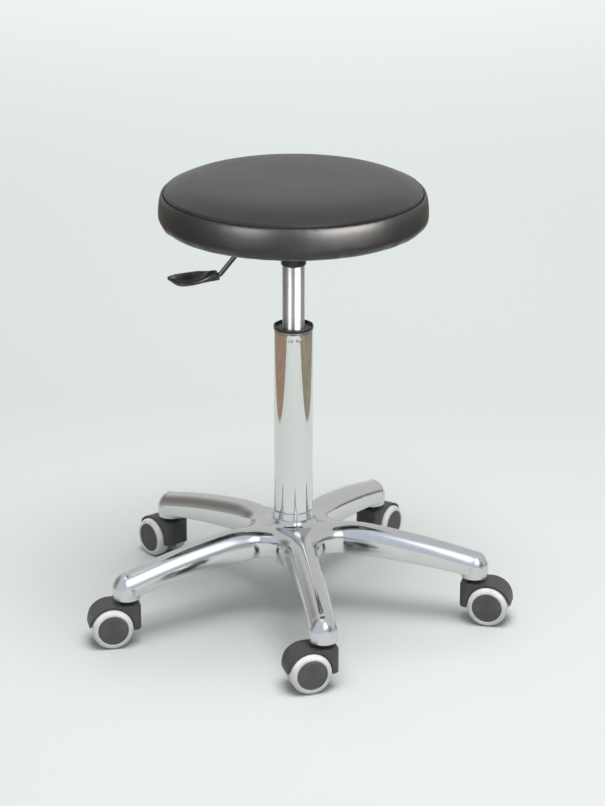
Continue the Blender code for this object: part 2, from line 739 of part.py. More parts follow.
def lever_points(bend_steps=5):
    """The lever rod's centre line in X and Z: over the button, out of the housing, down to the paddle."""
    slope = math.radians(LEVER_SLOPE)
    dip = math.radians(LEVER_DIP)
    out = -(HOUSING_HALF + LEVER_BEND_OUT)
    down = LEVER_HEIGHT - LEVER_DROP
    corners = [Vector((LEVER_INNER_END, LEVER_HEIGHT)), Vector((out, LEVER_HEIGHT))]
    corners.append(Vector((out - LEVER_DROP / math.tan(slope), down)))
    length = PADDLE_NECK_GAP + PADDLE_SOCKET + LEVER_BEND_RADIUS * math.tan((slope - dip) / 2)
    corners.append(corners[-1] + Vector((-math.cos(dip), -math.sin(dip))) * length)
    points = [corners[0]]
    for before, corner, after in zip(corners, corners[1:], corners[2:]):
        come = (corner - before).normalized()
        leave = (after - corner).normalized()
        bend = come.angle(leave)
        setback = LEVER_BEND_RADIUS * math.tan(bend / 2)
        inward = (leave - come).normalized()
        centre = corner + inward * (LEVER_BEND_RADIUS / math.cos(bend / 2))
        first = corner - come * setback - centre
        last = corner + leave * setback - centre
        for i in range(bend_steps + 1):
            points.append(centre + first.slerp(last, i / bend_steps).normalized() * LEVER_BEND_RADIUS)
    points.append(corners[-1])
    return points


def paddle_frame():
    """The paddle's own axes: X out along the rod from the neck's end face, Z up."""
    end = lever_points()[-1]
    dip = math.radians(LEVER_DIP)
    start = end + Vector((math.cos(dip), math.sin(dip))) * PADDLE_SOCKET
    place = Matrix.Translation((start.x, 0, start.y))
    return place @ turn_about("Z", 180) @ turn_about("Y", LEVER_DIP) @ turn_about("X", -PADDLE_ROLL)


def lever_rod_object(material, parent):
    curve = bpy.data.curves.new("lever_rod", "CURVE")
    curve.dimensions = "3D"
    curve.bevel_depth = LEVER_RADIUS
    curve.bevel_resolution = 2
    curve.use_fill_caps = True
    points = lever_points()
    spline = curve.splines.new("POLY")
    spline.points.add(len(points) - 1)
    for target, point in zip(spline.points, points):
        target.co = (point.x, 0.0, point.y - LEVER_HEIGHT, 1.0)
    spline.use_smooth = True
    curve.materials.append(material)
    obj = bpy.data.objects.new("lever_rod", curve)
    bpy.context.collection.objects.link(obj)
    obj.parent = parent
    obj.location = (-parent.location.x, 0.0, 0.0)
    return obj


def paddle_outline(half):
    """A slice of the dished blade: the near rim, the dish, the far rim and the keel below."""
    rim = min(PADDLE_RIM, 0.7 * half)
    deep = min(1.0, half / PADDLE_FULL_DEPTH)
    lift = deep * PADDLE_RIM_LIFT
    dish = -deep * PADDLE_DISH
    keel = -deep * PADDLE_KEEL
    inner = half - rim
    crest = half - rim / 2
    upper = [(half, lift), (crest, lift + rim / 2), (inner, lift), (0.55 * inner, 0.7 * dish), (0.0, dish)]
    lower = [(0.8 * half, 0.55 * keel), (0.42 * half, 0.93 * keel)]
    far_upper = [(-y, z) for y, z in upper[-2::-1]]
    far_lower = [(-y, z) for y, z in lower]
    return upper + far_upper + far_lower + [(0.0, keel)] + lower[::-1]


def paddle_section(share, far, near, blade):
    """A slice across the paddle: blade 0 is the round neck, its end cut slanting, and 1 the dished blade."""
    half = PADDLE_HALF_WIDTH * (near + far) / 2
    middle = PADDLE_HALF_WIDTH * (near - far) / 2
    slant = PADDLE_NECK_SLANT if share == 0 else 0.0
    points = []
    for degrees, (flat_y, flat_z) in zip(PADDLE_TURNS, paddle_outline(half)):
        round_y = half * math.cos(math.radians(degrees))
        round_z = PADDLE_NECK_RADIUS * math.sin(math.radians(degrees))
        y = round_y + (flat_y - round_y) * blade
        z = round_z + (flat_z - round_z) * blade
        points.append((PADDLE_LENGTH * share + slant * z, middle + y, z))
    return points


def lever_paddle_mesh():
    """A spoon-like paddle: a round neck that flattens and widens to a dished blade with a slanting end."""
    mesh = mesh_from(loft([paddle_section(*station) for station in PADDLE_STATIONS]), "lever_paddle")
    mouth = PADDLE_NECK_SLANT * PADDLE_NECK_RADIUS + FIT
    bore = cylinder(LEVER_RADIUS + FIT, -mouth, PADDLE_SOCKET + FIT, TUBE_SIDES)
    return cut(mesh, (bore, turn_about("Y", 90)))


def lever_grommet_mesh():
    """A waisted grommet that the lever rocks in, clipped in the housing's side wall."""
    wall = HOUSING_WALL / 2 + FIT
    end = wall + GROMMET_LIP
    bore = LEVER_RADIUS + FIT
    return mesh_from(lathe([
        (GROMMET_FLANGE, end),
        (GROMMET_FLANGE, wall),
        (GROMMET_RADIUS, wall),
        (GROMMET_RADIUS, -wall),
        (GROMMET_FLANGE, -wall),
        (GROMMET_FLANGE, -end),
        (bore + GROMMET_FLARE, -end),
        (bore, 0.0),
        (bore + GROMMET_FLARE, end),
    ], GROMMET_SIDES), "lever_grommet")


# Cushion

def crown_profile(steps=5):
    """The top panel's outside, from the middle out to the seam."""
    points = [(0.0, SEAT_TOP), (CROWN_FLAT_RADIUS, SEAT_TOP)]
    for i in range(1, steps + 1):
        share = i / steps
        out = math.sin(share * math.pi / 2)
        radius = CROWN_FLAT_RADIUS + (SEAM_RADIUS - CROWN_FLAT_RADIUS) * out
        points.append((radius, SEAM_HEIGHT + CROWN * (1 - out ** CROWN_EASE)))
    points[-1] = (SEAM_RADIUS, SEAM_HEIGHT - SEAM_DIP)
    return points


def band_profile():
    """The side band's outside: out from the seam, round the bulge and tucked under to the hem."""
    start = SEAM_RADIUS + FIT
    bulge = SEAT_RADIUS - start
    points = [(start, SEAM_HEIGHT - SEAM_DIP)]
    for degrees in (30, 60, 90):
        turn = math.radians(degrees)
        points.append((start + bulge * math.sin(turn), SEAM_HEIGHT - BULGE_DROP * (1 - math.cos(turn))))
    low = BAND_HEIGHT - BULGE_DROP
    for degrees in (30, 60, 90):
        turn = math.radians(degrees)
        points.append((SEAT_RADIUS - BAND_TUCK * (1 - math.cos(turn)),
                       SEAM_HEIGHT - BULGE_DROP - low * math.sin(turn)))
    points.append((HEM_INNER_RADIUS, CUSHION_BOTTOM))
    return points


def inset(profile, distance):
    """Move an outside profile inwards by a distance, square to its own run."""
    moved = []
    for i, point in enumerate(profile):
        here = Vector(point)
        before = here - Vector(profile[i - 1]) if i else None
        after = Vector(profile[i + 1]) - here if i + 1 < len(profile) else None
        runs = [run.normalized() for run in (before, after) if run is not None]
        normals = [Vector((run.y, -run.x)) for run in runs]
        normal = sum(normals, Vector((0.0, 0.0))).normalized()
        moved.append(here + normal * (distance / max(0.5, normal.dot(normals[0]))))
    return [(p.x, p.y) for p in moved]


def top_panel_mesh():
    outside = crown_profile()
    inside = inset(outside, COVER_THICKNESS)
    inside[0] = (0.0, SEAT_TOP - COVER_THICKNESS)
    inside[-1] = (SEAM_RADIUS, SEAM_HEIGHT - SEAM_DIP - COVER_THICKNESS)
    return mesh_from(lathe(outside + inside[::-1], SEAT_SIDES, closed=False), "seat_top_panel")


def side_band_mesh():
    outside = band_profile()
    inside = inset(outside, COVER_THICKNESS)
    inside[0] = (SEAM_RADIUS + FIT, SEAM_HEIGHT - SEAM_DIP - COVER_THICKNESS)
    inside[-1] = (HEM_INNER_RADIUS, CUSHION_BOTTOM + COVER_THICKNESS)
    return mesh_from(lathe(outside + inside[::-1], SEAT_SIDES), "seat_side_band")


def foam_mesh():
    gap = COVER_THICKNESS + FIT
    top = inset(crown_profile(), gap)
    top[0] = (0.0, SEAT_TOP - gap)
    top[-1] = (SEAM_RADIUS, SEAM_HEIGHT - SEAM_DIP - gap)
    side = inset(band_profile(), gap)[1:-1]
    low = CUSHION_BOTTOM + gap
    side[-1] = (side[-1][0], low)
    edge = BOARD_RADIUS + FIT
    profile = top + side + [(edge, low), (edge, BOARD_TOP + FIT), (0.0, BOARD_TOP + FIT)]
    return mesh_from(lathe(profile, SEAT_SIDES, closed=False), "seat_foam")


def seat_board_mesh():
    mesh = mesh_from(cylinder(BOARD_RADIUS, BOARD_BOTTOM, BOARD_TOP, SEAT_SIDES), "seat_board")
    return drill(mesh, BOARD_BOTTOM - FIT, PLATE_TOP + BOLT_LENGTH + FIT)


def dust_cover_mesh():
    low = PLATE_TOP + FIT
    high = low + DUST_COVER_THICKNESS
    mesh = mesh_from(cylinder(HEM_INNER_RADIUS - FIT, low, high, SEAT_SIDES), "dust_cover")
    return drill(mesh, low - FIT, high + FIT)


# Casters, modelled with the stem on Z and the wheels trailing along +X

def hood_outline():
    """The hood's side view in X and Z: back wall, flat top, arch over the wheels, web round the axle."""
    back = -HOOD_BACK
    axle = (CASTER_TRAIL, AXLE_HEIGHT)
    corner = (back + HOOD_BACK_ROUND, HOOD_TOP - HOOD_BACK_ROUND)
    points = [(back + HOOD_CHAMFER, HOOD_BACK_LIFT), (back, HOOD_BACK_LIFT + HOOD_CHAMFER)]
    points += arc(corner, HOOD_BACK_ROUND, 180, 90, 2)
    points += arc(axle, HOOD_RADIUS, 90, HOOD_TIP_TURN, 6)
    tip_x, tip_z = points[-1]
    points.append((tip_x - HOOD_LIP, tip_z))
    points += arc(axle, AXLE_BOSS_RADIUS, -20, -180, 4)
    points.append((CASTER_TRAIL - CAVITY_RADIUS, HOOD_BACK_LIFT))
    return points


def hood_plan():
    """The hood seen from above, its front and back corners rounded."""
    front = CASTER_TRAIL + HOOD_RADIUS - HOOD_FRONT_ROUND
    front_side = HOOD_HALF_WIDTH - HOOD_FRONT_ROUND
    back = HOOD_PLAN_ROUND - HOOD_BACK
    back_side = HOOD_HALF_WIDTH - HOOD_PLAN_ROUND
    points = arc((front, -front_side), HOOD_FRONT_ROUND, -90, 0, 3)
    points += arc((front, front_side), HOOD_FRONT_ROUND, 0, 90, 3)
    points += arc((back, back_side), HOOD_PLAN_ROUND, 90, 180, 4)
    return points + arc((back, -back_side), HOOD_PLAN_ROUND, 180, 270, 4)


def hood_mesh():
    upright = turn_about("X", 90)
    past = HOOD_HALF_WIDTH + HOOD_WALL
    mesh = mesh_from(prism(hood_outline(), 2 * past), "caster_hood")
    mesh.transform(upright @ Matrix.Translation((0, 0, -past)))
    mesh = combine(mesh, gather([(prism(hood_plan(), HOOD_TOP + HOOD_WALL), Matrix())]), "INTERSECT")
    axle = Matrix.Translation((CASTER_TRAIL, 0, AXLE_HEIGHT)) @ upright
    flat_up = math.pi / WHEEL_SIDES
    near = cylinder(CAVITY_RADIUS, WEB_HALF, past, WHEEL_SIDES, flat_up)
    far = cylinder(CAVITY_RADIUS, -past, -WEB_HALF, WHEEL_SIDES, flat_up)
    mesh = cut(mesh, (near, axle), (far, axle))
    axle_hole = cylinder(AXLE_RADIUS + FIT, -past, past, PIN_SIDES, math.pi / PIN_SIDES)
    stem_hole = cylinder(STEM_RADIUS + FIT, HOOD_TOP - STEM_DEPTH - FIT, HOOD_TOP + FIT, PIN_SIDES)
    return cut(mesh, (axle_hole, axle), (stem_hole, Matrix()))


def stem_mesh():
    collar_low = HOOD_TOP + FIT
    collar_high = BOSS_BOTTOM - FIT
    top = BOSS_BOTTOM + STEM_TOP_LENGTH
    return mesh_from(lathe([
        (0, top),
        (STEM_TOP_RADIUS - STEM_TAPER, top),
        (STEM_TOP_RADIUS, top - STEM_TAPER),
        (STEM_TOP_RADIUS, collar_high),
        (STEM_COLLAR_RADIUS, collar_high),
        (STEM_COLLAR_RADIUS, collar_low),
        (STEM_RADIUS, collar_low),
        (STEM_RADIUS, HOOD_TOP - STEM_DEPTH),
        (0, HOOD_TOP - STEM_DEPTH),
    ], PIN_SIDES, closed=False), "caster_stem")


def axle_half_length():
    return WHEEL_INNER_FACE + TYRE_WIDTH - CORE_RECESS - AXLE_COVER - FIT


def axle_mesh():
    half = axle_half_length()
    return mesh_from(cylinder(AXLE_RADIUS, -half, half, PIN_SIDES, math.pi / PIN_SIDES), "caster_axle")


def core_mesh():
    """A wheel's grey core: a cup on the axle, closed by the flat disc that shows outside."""
    face = WHEEL_INNER_FACE + TYRE_WIDTH - CORE_RECESS
    rim = TYRE_SEAT_RADIUS - FIT
    bore = AXLE_RADIUS + FIT
    return mesh_from(lathe([
        (0, face),
        (rim - CORE_EDGE, face),
        (rim, face - CORE_EDGE),
        (rim, WHEEL_INNER_FACE),
        (bore, WHEEL_INNER_FACE),
        (bore, face - AXLE_COVER),
        (0, face - AXLE_COVER),
    ], WHEEL_SIDES, closed=False), "wheel_core")


def tyre_mesh():
    """A wheel's pale tyre, turned so that one of its flats faces the floor."""
    inner = WHEEL_INNER_FACE
    outer = WHEEL_INNER_FACE + TYRE_WIDTH
    shoulder = TYRE_SHOULDER
    return mesh_from(lathe([
        (TYRE_SEAT_RADIUS, outer),
        (WHEEL_RADIUS - shoulder, outer),
        (WHEEL_RADIUS - shoulder / 3, outer - shoulder / 3),
        (WHEEL_RADIUS, outer - shoulder),
        (WHEEL_RADIUS, inner + shoulder),
        (WHEEL_RADIUS - shoulder, inner),
        (TYRE_SEAT_RADIUS, inner),
    ], WHEEL_SIDES, phase=math.pi / WHEEL_SIDES), "wheel_tyre")


def add_casters(materials):
    stem = stem_mesh()
    hood = hood_mesh()
    axle = axle_mesh()
    core = core_mesh()
    tyre = tyre_mesh()
    along_axle = (-math.pi / 2, 0.0, 0.0)
    for name, arm, heading in CASTERS:
        angle = arm_angle(arm)
        tip = (TIP_RADIUS * math.cos(angle), TIP_RADIUS * math.sin(angle), 0.0)
        swivel = add_empty(f"caster_{name}_swivel", tip, math.radians(heading))
        add_object(f"caster_{name}_stem", stem, materials["dark_steel"], swivel)
        add_object(f"caster_{name}_hood", hood, materials["black_nylon"], swivel)
        spin = add_empty(f"caster_{name}_spin", (CASTER_TRAIL, 0.0, AXLE_HEIGHT), parent=swivel)
        add_object(f"caster_{name}_axle", axle, materials["dark_steel"], spin, along_axle)
        for side, turn in (("left", 0.0), ("right", math.pi)):
            wheel = add_empty(f"caster_{name}_wheel_{side}", (0, 0, 0), turn, spin)
            add_object(f"caster_{name}_core_{side}", core, materials["wheel_grey"], wheel, along_axle)
            add_object(f"caster_{name}_tyre_{side}", tyre, materials["tyre_pale"], wheel, along_axle)


# Assembly

def make_materials():
    return {
        "cast_aluminium": make_material("cast_aluminium", (0.80, 0.80, 0.80), 0.12, 1.0),
        "chrome_tube": make_material("chrome_tube", (0.78, 0.77, 0.76), 0.08, 1.0),
        "satin_steel": make_material("satin_steel", (0.62, 0.62, 0.62), 0.25, 1.0),
        "dark_steel": make_material("dark_steel", (0.10, 0.10, 0.10), 0.45, 1.0),
        "black_plastic": make_material("black_plastic", (0.02, 0.02, 0.02), 0.45, 0.0),
        "black_nylon": make_material("black_nylon", (0.035, 0.035, 0.036), 0.55, 0.0),
        "wheel_grey": make_material("wheel_grey", (0.06, 0.06, 0.06), 0.5, 0.0),
        "tyre_pale": make_material("tyre_pale", (0.72, 0.72, 0.71), 0.5, 0.0),
        "black_enamel": make_material("black_enamel", (0.02, 0.02, 0.02), 0.35, 0.0),
        "black_vinyl": make_material("black_vinyl", (0.03, 0.03, 0.03), 0.4, 0.0),
        "foam": make_material("foam", (0.75, 0.70, 0.45), 0.95, 0.0),
        "plywood": make_material("plywood", (0.55, 0.38, 0.22), 0.7, 0.0),
        "dust_fabric": make_material("dust_fabric", (0.02, 0.02, 0.02), 0.95, 0.0),
        "rubber": make_material("rubber", (0.02, 0.02, 0.02), 0.8, 0.0),
        "zinc_steel": make_material("zinc_steel", (0.55, 0.55, 0.53), 0.4, 1.0),
    }


def add_base(materials):
    add_object("star_base", star_base_mesh(), materials["cast_aluminium"])
    add_object("column_tube", column_tube_mesh(), materials["chrome_tube"])
    add_object("guide_bush", guide_bush_mesh(), materials["black_plastic"])
    add_object("thrust_bearing", thrust_bearing_mesh(), materials["satin_steel"])


def add_rod(materials):
    swivel = add_empty("seat_swivel", (0, 0, 0))
    add_object("piston_rod", piston_rod_mesh(), materials["satin_steel"], swivel)
    piston = ring_mesh("piston", ROD_STUD_RADIUS + FIT, PRESSURE_RADIUS - PRESSURE_WALL - FIT,
                       PISTON_BOTTOM, PISTON_BOTTOM + PISTON_HEIGHT)
    add_object("piston", piston, materials["black_plastic"], swivel)
    bump = ring_mesh("bump_stop", ROD_RADIUS + FIT, BUMP_RADIUS, BEARING_TOP + FIT,
                     BEARING_TOP + BUMP_HEIGHT, BUMP_EDGE)
    add_object("bump_stop", bump, materials["rubber"], swivel)
    clip_top = COLUMN_FLOOR_TOP - COLUMN_FLOOR - FIT
    clip = ring_mesh("retaining_clip", ROD_FOOT_RADIUS + FIT, CLIP_RADIUS,
                     clip_top - CLIP_THICKNESS, clip_top)
    add_object("retaining_clip", clip, materials["zinc_steel"], swivel)
    return swivel


def add_seat(materials, swivel):
    seat = add_empty("seat_height", (0, 0, 0), parent=swivel)
    add_object("pressure_tube", pressure_tube_mesh(), materials["satin_steel"], seat)
    add_object("release_button", release_button_mesh(), materials["zinc_steel"], seat)
    add_object("socket_housing", socket_housing_mesh(), materials["black_enamel"], seat)
    add_object("seat_plate", seat_plate_mesh(), materials["black_enamel"], seat)
    bolt = plate_bolt_mesh()
    for number, (x, y) in enumerate(bolt_places(), start=1):
        add_object(f"plate_bolt_{number}", bolt, materials["zinc_steel"], seat, location=(x, y, 0))
    add_object("dust_cover", dust_cover_mesh(), materials["dust_fabric"], seat)
    add_object("seat_board", seat_board_mesh(), materials["plywood"], seat)
    add_object("seat_foam", foam_mesh(), materials["foam"], seat)
    add_object("seat_side_band", side_band_mesh(), materials["black_vinyl"], seat)
    add_object("seat_top_panel", top_panel_mesh(), materials["black_vinyl"], seat)
    return seat


def add_lever(materials, seat):
    wall = -(HOUSING_HALF - HOUSING_WALL / 2)
    add_object("lever_grommet", lever_grommet_mesh(), materials["rubber"], seat,
               (0.0, math.pi / 2, 0.0), (wall, 0.0, LEVER_HEIGHT))
    pivot = add_empty("lever_lift", (wall, 0.0, LEVER_HEIGHT), parent=seat)
    lever_rod_object(materials["black_enamel"], pivot)
    paddle = lever_paddle_mesh()
    paddle.transform(Matrix.Translation(-pivot.location) @ paddle_frame())
    add_object("lever_paddle", paddle, materials["black_plastic"], pivot)


def main():
    clear_scene()
    materials = make_materials()
    add_base(materials)
    add_casters(materials)
    swivel = add_rod(materials)
    seat = add_seat(materials, swivel)
    add_lever(materials, seat)


main()
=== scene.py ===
"""The looks of a rolling stool: vinyl seat, gas-lift column, polished five-arm base, twin-wheel casters.

Metres, +Z up, in the frame's own axes: the column stands on the origin and the stool's front is -Y.
"""

import math

import bmesh
import bpy
from mathutils import Matrix, Vector, noise


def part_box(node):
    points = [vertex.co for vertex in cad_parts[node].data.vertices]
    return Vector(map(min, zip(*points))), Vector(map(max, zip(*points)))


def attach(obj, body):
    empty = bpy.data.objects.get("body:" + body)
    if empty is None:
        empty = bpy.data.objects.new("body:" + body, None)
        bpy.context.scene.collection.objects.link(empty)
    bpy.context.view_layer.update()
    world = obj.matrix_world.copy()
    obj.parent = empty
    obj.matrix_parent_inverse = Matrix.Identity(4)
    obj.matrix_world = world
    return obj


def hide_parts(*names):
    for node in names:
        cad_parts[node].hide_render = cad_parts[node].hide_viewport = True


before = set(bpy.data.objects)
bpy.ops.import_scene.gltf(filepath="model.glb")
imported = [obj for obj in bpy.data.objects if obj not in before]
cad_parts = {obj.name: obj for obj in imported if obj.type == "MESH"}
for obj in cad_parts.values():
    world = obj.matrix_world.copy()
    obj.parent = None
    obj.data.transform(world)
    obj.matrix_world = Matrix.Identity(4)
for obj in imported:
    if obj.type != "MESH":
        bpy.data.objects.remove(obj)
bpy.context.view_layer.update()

# Camera, as found from the stool's known circles and heights
CAMERA_PLACE = (0.0, -3.14108, 1.42689)
CAMERA_FORWARD = (0.00345, 0.93971222, -0.34194593)
CAMERA_UP = (-0.00034096, 0.3419495, 0.9397183)
CAMERA_LENS = 116.86
CAMERA_FAR = 200.0
SENSOR = 36.0

# Sides of round pieces
SEAT_SIDES = 384
COLUMN_SIDES = 160
TUBE_SIDES = 96
WHEEL_SIDES = 96
RING_SIDES = 64
PIN_SIDES = 32

# Clearance between neighbours, and the join distance of mesh points
FIT = 0.0003
MERGE = 0.00001

# Rounded corners: the most of a side that one takes, the least bend that is rounded, and a guard against zero
CORNER_SHARE = 0.45
LEAST_BEND = 0.15
TINY = 1e-6

# Turns, in radians, that keep the sides of round bodies that are joined or cut from lining up
BOSS_PHASE = 0.01
BUSH_PHASE = 0.011
BORE_PHASE = 0.02
CAVITY_PHASE = 0.03
AXLE_PHASE = 0.05

# Cast base
ARM_COUNT = 5
FRONT_ARM_ANGLE = -81.2
TIP_RADIUS = 0.237
ARM_TIP_HALF_WIDTH = 0.017
ARM_HUB_HALF_WIDTH = 0.0186
ARM_FILLET = 0.034
ARM_RISE = 0.0382
ARM_ARCH = 0.715
ARM_DOME = 0.0158
ARM_CREASE = 0.93
SKIRT_AT_TIP = 0.0139
SKIRT_AT_HUB = 0.0233
SKIRT_EDGE = 0.0012
TIP_BOSS_RADIUS = 0.0178
TIP_BOSS_HEIGHT = 0.0175
TIP_LEDGE = 0.001
TIP_BOSS_EDGE = 0.0006
TURNED_DROPS = (0.0016, 0.0010)
TURNED_FADE = 0.0008
ARM_WALL = 0.0034
POCKET_END_WALL = 0.003
POCKET_STEPS = 16
HUB_DOME = 0.008
HUB_BLEND_START = 0.036
HUB_BLEND_END = 0.095
HUB_BOSS_RADIUS = 0.028
HUB_DEPTH = 0.063
HUB_EDGE = 0.0012
NECK_RADIUS = 0.0257
NECK_FILLET = 0.009
NECK_EDGE = 0.0008
SPINE_SPREAD = 0.135

# Column, guide bush and gas spring
COLUMN_RADIUS = 0.025
COLUMN_WALL = 0.0017
COLUMN_LOWER_RADIUS = 0.023
COLUMN_EDGE = 0.0008
COLUMN_SEAT_LIFT = 0.0003
COLUMN_FLOOR_LIFT = 0.003
COLUMN_FLOOR = 0.003
COLUMN_SHOULDER = 0.004
COLUMN_ROWS = 24
COLUMN_FOOT = 0.003
DENT_RADIUS = 0.0031
DENT_DEPTH = 0.0008
DENT_DROP = 0.0085
DENT_TURNS = (-0.14, 0.26)
DENT_MARGIN = 0.001
DENT_ROWS = 16
BUSH_RIM_HEIGHT = 0.0042
BUSH_RIM_PROUD = 0.0003
BUSH_RIM_WALL = 0.0024
BUSH_RECESS = 0.0032
BUSH_NOTCHES = 12
BUSH_NOTCH_WIDTH = 0.0072
BUSH_NOTCH_DEPTH = 0.003
BUSH_NOTCH_SKIN = 0.0009
BUSH_ROUND = 0.0005
BUSH_EDGE = 0.0003
PRESSURE_RADIUS = 0.014
PRESSURE_WALL = 0.0015
PRESSURE_END = 0.008
TAPER_DROP = 0.0008
VALVE_BLOCK = 0.022
TUBE_GROOVE = 0.0006
TUBE_GROOVE_LIFT = 0.005
TUBE_MARK_DROP = 0.025
TUBE_MARK_FADE = (0.0002, 0.0009)
BUTTON_RADIUS = 0.004
ROD_RADIUS = 0.005
ROD_FOOT_RADIUS = 0.004
SOCKET_RADIUS = 0.016
SOCKET_ROUND = 0.003
SOCKET_LENGTH = 0.0245
SOCKET_FOOT_ROUND = 0.004
SOCKET_SINK = 0.0005
HOUSING_HALF = 0.036
HOUSING_CORNER = 0.006
HOUSING_WALL = 0.0025
HOUSING_FLOOR = 0.003
HOUSING_EDGE = 0.0006
PLATE_EDGE = 0.0005
PLATE_BOLTS = 4
GROMMET_RADIUS = 0.006

# Casters
WHEEL_RADIUS = 0.0264
WHEEL_INNER_FACE = 0.0074
TYRE_WIDTH = 0.0168
TYRE_SEAT_RADIUS = 0.0194
TYRE_OUTER_ROUND = 0.006
TYRE_INNER_ROUND = 0.0026
TYRE_LINE = 0.0004
CORE_RECESS = 0.0004
CORE_CROWN = 0.0001
CORE_LINE = (0.0022, 0.0016, 0.0010)
CORE_LINE_DEPTH = 0.00025
CORE_DISH = 0.004
CORE_DISC = 0.0035
CORE_BOSS_TAPER = 0.001
CORE_EDGE = 0.0005
HOOD_GAP = 0.001
HOOD_WALL = 0.0021
HOOD_HALF_WIDTH = 0.0185
HOOD_BACK = 0.0168
HOOD_BACK_LIFT = 0.0225
HOOD_CHAMFER = 0.002
HOOD_BACK_ROUND = 0.004
HOOD_PLAN_ROUND = 0.0095
HOOD_FRONT_ROUND = 0.009
HOOD_LIP = 0.0045
HOOD_TIP_TURN = 4.0
HOOD_EDGE = 0.0008
HOOD_BOSS_ARC = (-20.0, -180.0)
AXLE_BOSS_RADIUS = 0.0085
AXLE_RADIUS = 0.003
STEM_RADIUS = 0.005
STEM_DEPTH = 0.023
STEM_COLLAR_RADIUS = 0.009
STEM_TOP_RADIUS = 0.0055
STEM_TAPER = 0.0015
STEM_GROOVE = 0.0008
STEM_EDGE = 0.0004
CASTERS = ("front", "right", "back_right", "back_left", "left")

# Release lever
LEVER_RADIUS = 0.0031
LEVER_INNER_END = 0.007
LEVER_HEAD_GAP = 0.0051
LEVER_BEND_OUT = 0.0146
LEVER_DROP = 0.0529
LEVER_SLOPE = 51.8
LEVER_BEND_RADIUS = 0.007
LEVER_DIP = 9.0
ROD_END_ROUND = ((0.0, 0.7), (0.12, 0.9), (0.3, 1.0))
PADDLE_LENGTH = 0.0638
PADDLE_NECK_RADIUS = 0.0066
PADDLE_NECK_SLANT = 0.28
PADDLE_NECK_GAP = 0.0003
PADDLE_SOCKET = 0.012
PADDLE_ROLL = 18.0
PADDLE_HALF_WIDTH = 0.0142
PADDLE_RIM = 0.0018
PADDLE_RIM_LIFT = 0.0022
PADDLE_DISH = 0.0014
PADDLE_KEEL = 0.004
PADDLE_FULL_DEPTH = 0.008
PADDLE_EDGE = 0.0006

# Points of the blade's slice, as shares of its half width and of the dish's or the keel's depth
PADDLE_RIM_SHARE = 0.7
PADDLE_DISH_POINT = (0.55, 0.7)
PADDLE_KEEL_POINTS = ((0.8, 0.55), (0.42, 0.93))

# Along the paddle, as shares of its length: the far and near edges as shares of its half width, and how far
# the round neck has turned into the dished blade
PADDLE_STATIONS = (
    (0.0, 0.465, 0.465, 0.0),
    (0.15, 0.535, 0.52, 0.0),
    (0.27, 0.718, 0.704, 0.45),
    (0.38, 0.831, 0.887, 0.8),
    (0.5, 0.866, 1.0, 1.0),
    (0.66, 0.866, 0.972, 1.0),
    (0.78, 0.859, 0.761, 1.0),
    (0.86, 0.845, 0.394, 1.0),
    (0.94, 0.824, -0.141, 1.0),
    (0.985, 0.775, -0.394, 1.0),
    (1.0, 0.718, -0.479, 1.0),
)

# Places of a slice's points round the paddle's neck, in degrees from the near side over the top
PADDLE_TURNS = (0, 25, 45, 67, 90, 113, 135, 155, 180, 216, 243, 270, 297, 324)

# Cushion
SEAM_RADIUS = 0.162
BULGE_DROP = 0.029
BAND_TUCK = 0.02
CROWN_FLAT_RADIUS = 0.04
CROWN_FLAT_STEPS = 4
CROWN_EASE = 5.0
SEAM_DIP = 0.001
HEM_INNER_RADIUS = 0.13
BOARD_GAP = 0.0004
SWELL = 0.0003
SWELL_REACH = 0.02
SWELL_CAP = 0.0035
SIM_SIDES = 128
CLOTH_FRAMES = 14
CLOTH_SETTINGS = {
    "quality": 5, "mass": 0.4, "tension_stiffness": 25.0, "compression_stiffness": 25.0,
    "shear_stiffness": 12.0, "bending_stiffness": 2.0,
    "use_pressure": True, "uniform_pressure_force": 0.5, "vertex_group_mass": "held",
}
HEM_BEND = 0.004
SEAM_TURN = 0.003
SEAM_TUCK_WIDTH = 0.0017
SEAM_TUCK_DEPTH = 0.0034
LIP_HEIGHT = 0.0006
LIP_PLACE = 0.0026
LIP_WIDTH = 0.0012
RIPPLE_SCALES = (3.1, 7.3)
RIPPLE_STRENGTH = (0.6, 0.8)
RIPPLE_DRIFT = 4.5
RIPPLE_SHIFT = 4.0
PUCKER_COUNT = 64
PUCKER_DEPTH = 0.00025
PUCKER_REACH = 0.0055
PUCKER_SEED = 1.7
GATHER_COUNT = 24
GATHER_DEPTH = 0.0011
GATHER_REACH = 0.015
GATHER_LIFT = 0.006
GATHER_SEED = 8.2
STITCH_PITCH = 0.0036
STITCH_LENGTH = 0.0026
STITCH_THREAD = 0.00026
STITCH_INSET = 0.0021
STITCH_STEPS = 4
STITCH_ARCH = (0.9, 5.0)
THREAD_SIDES = 6
STAPLE_COUNT = 44
STAPLE_LENGTH = 0.0105
STAPLE_WIRE = 0.0004
STAPLE_TILT = 14.0
STAPLE_FLATNESS = 0.6
DUST_STEPS = 18
DUST_FOLDS = 23
DUST_SLACK = 0.3
DUST_SEED = 2.4

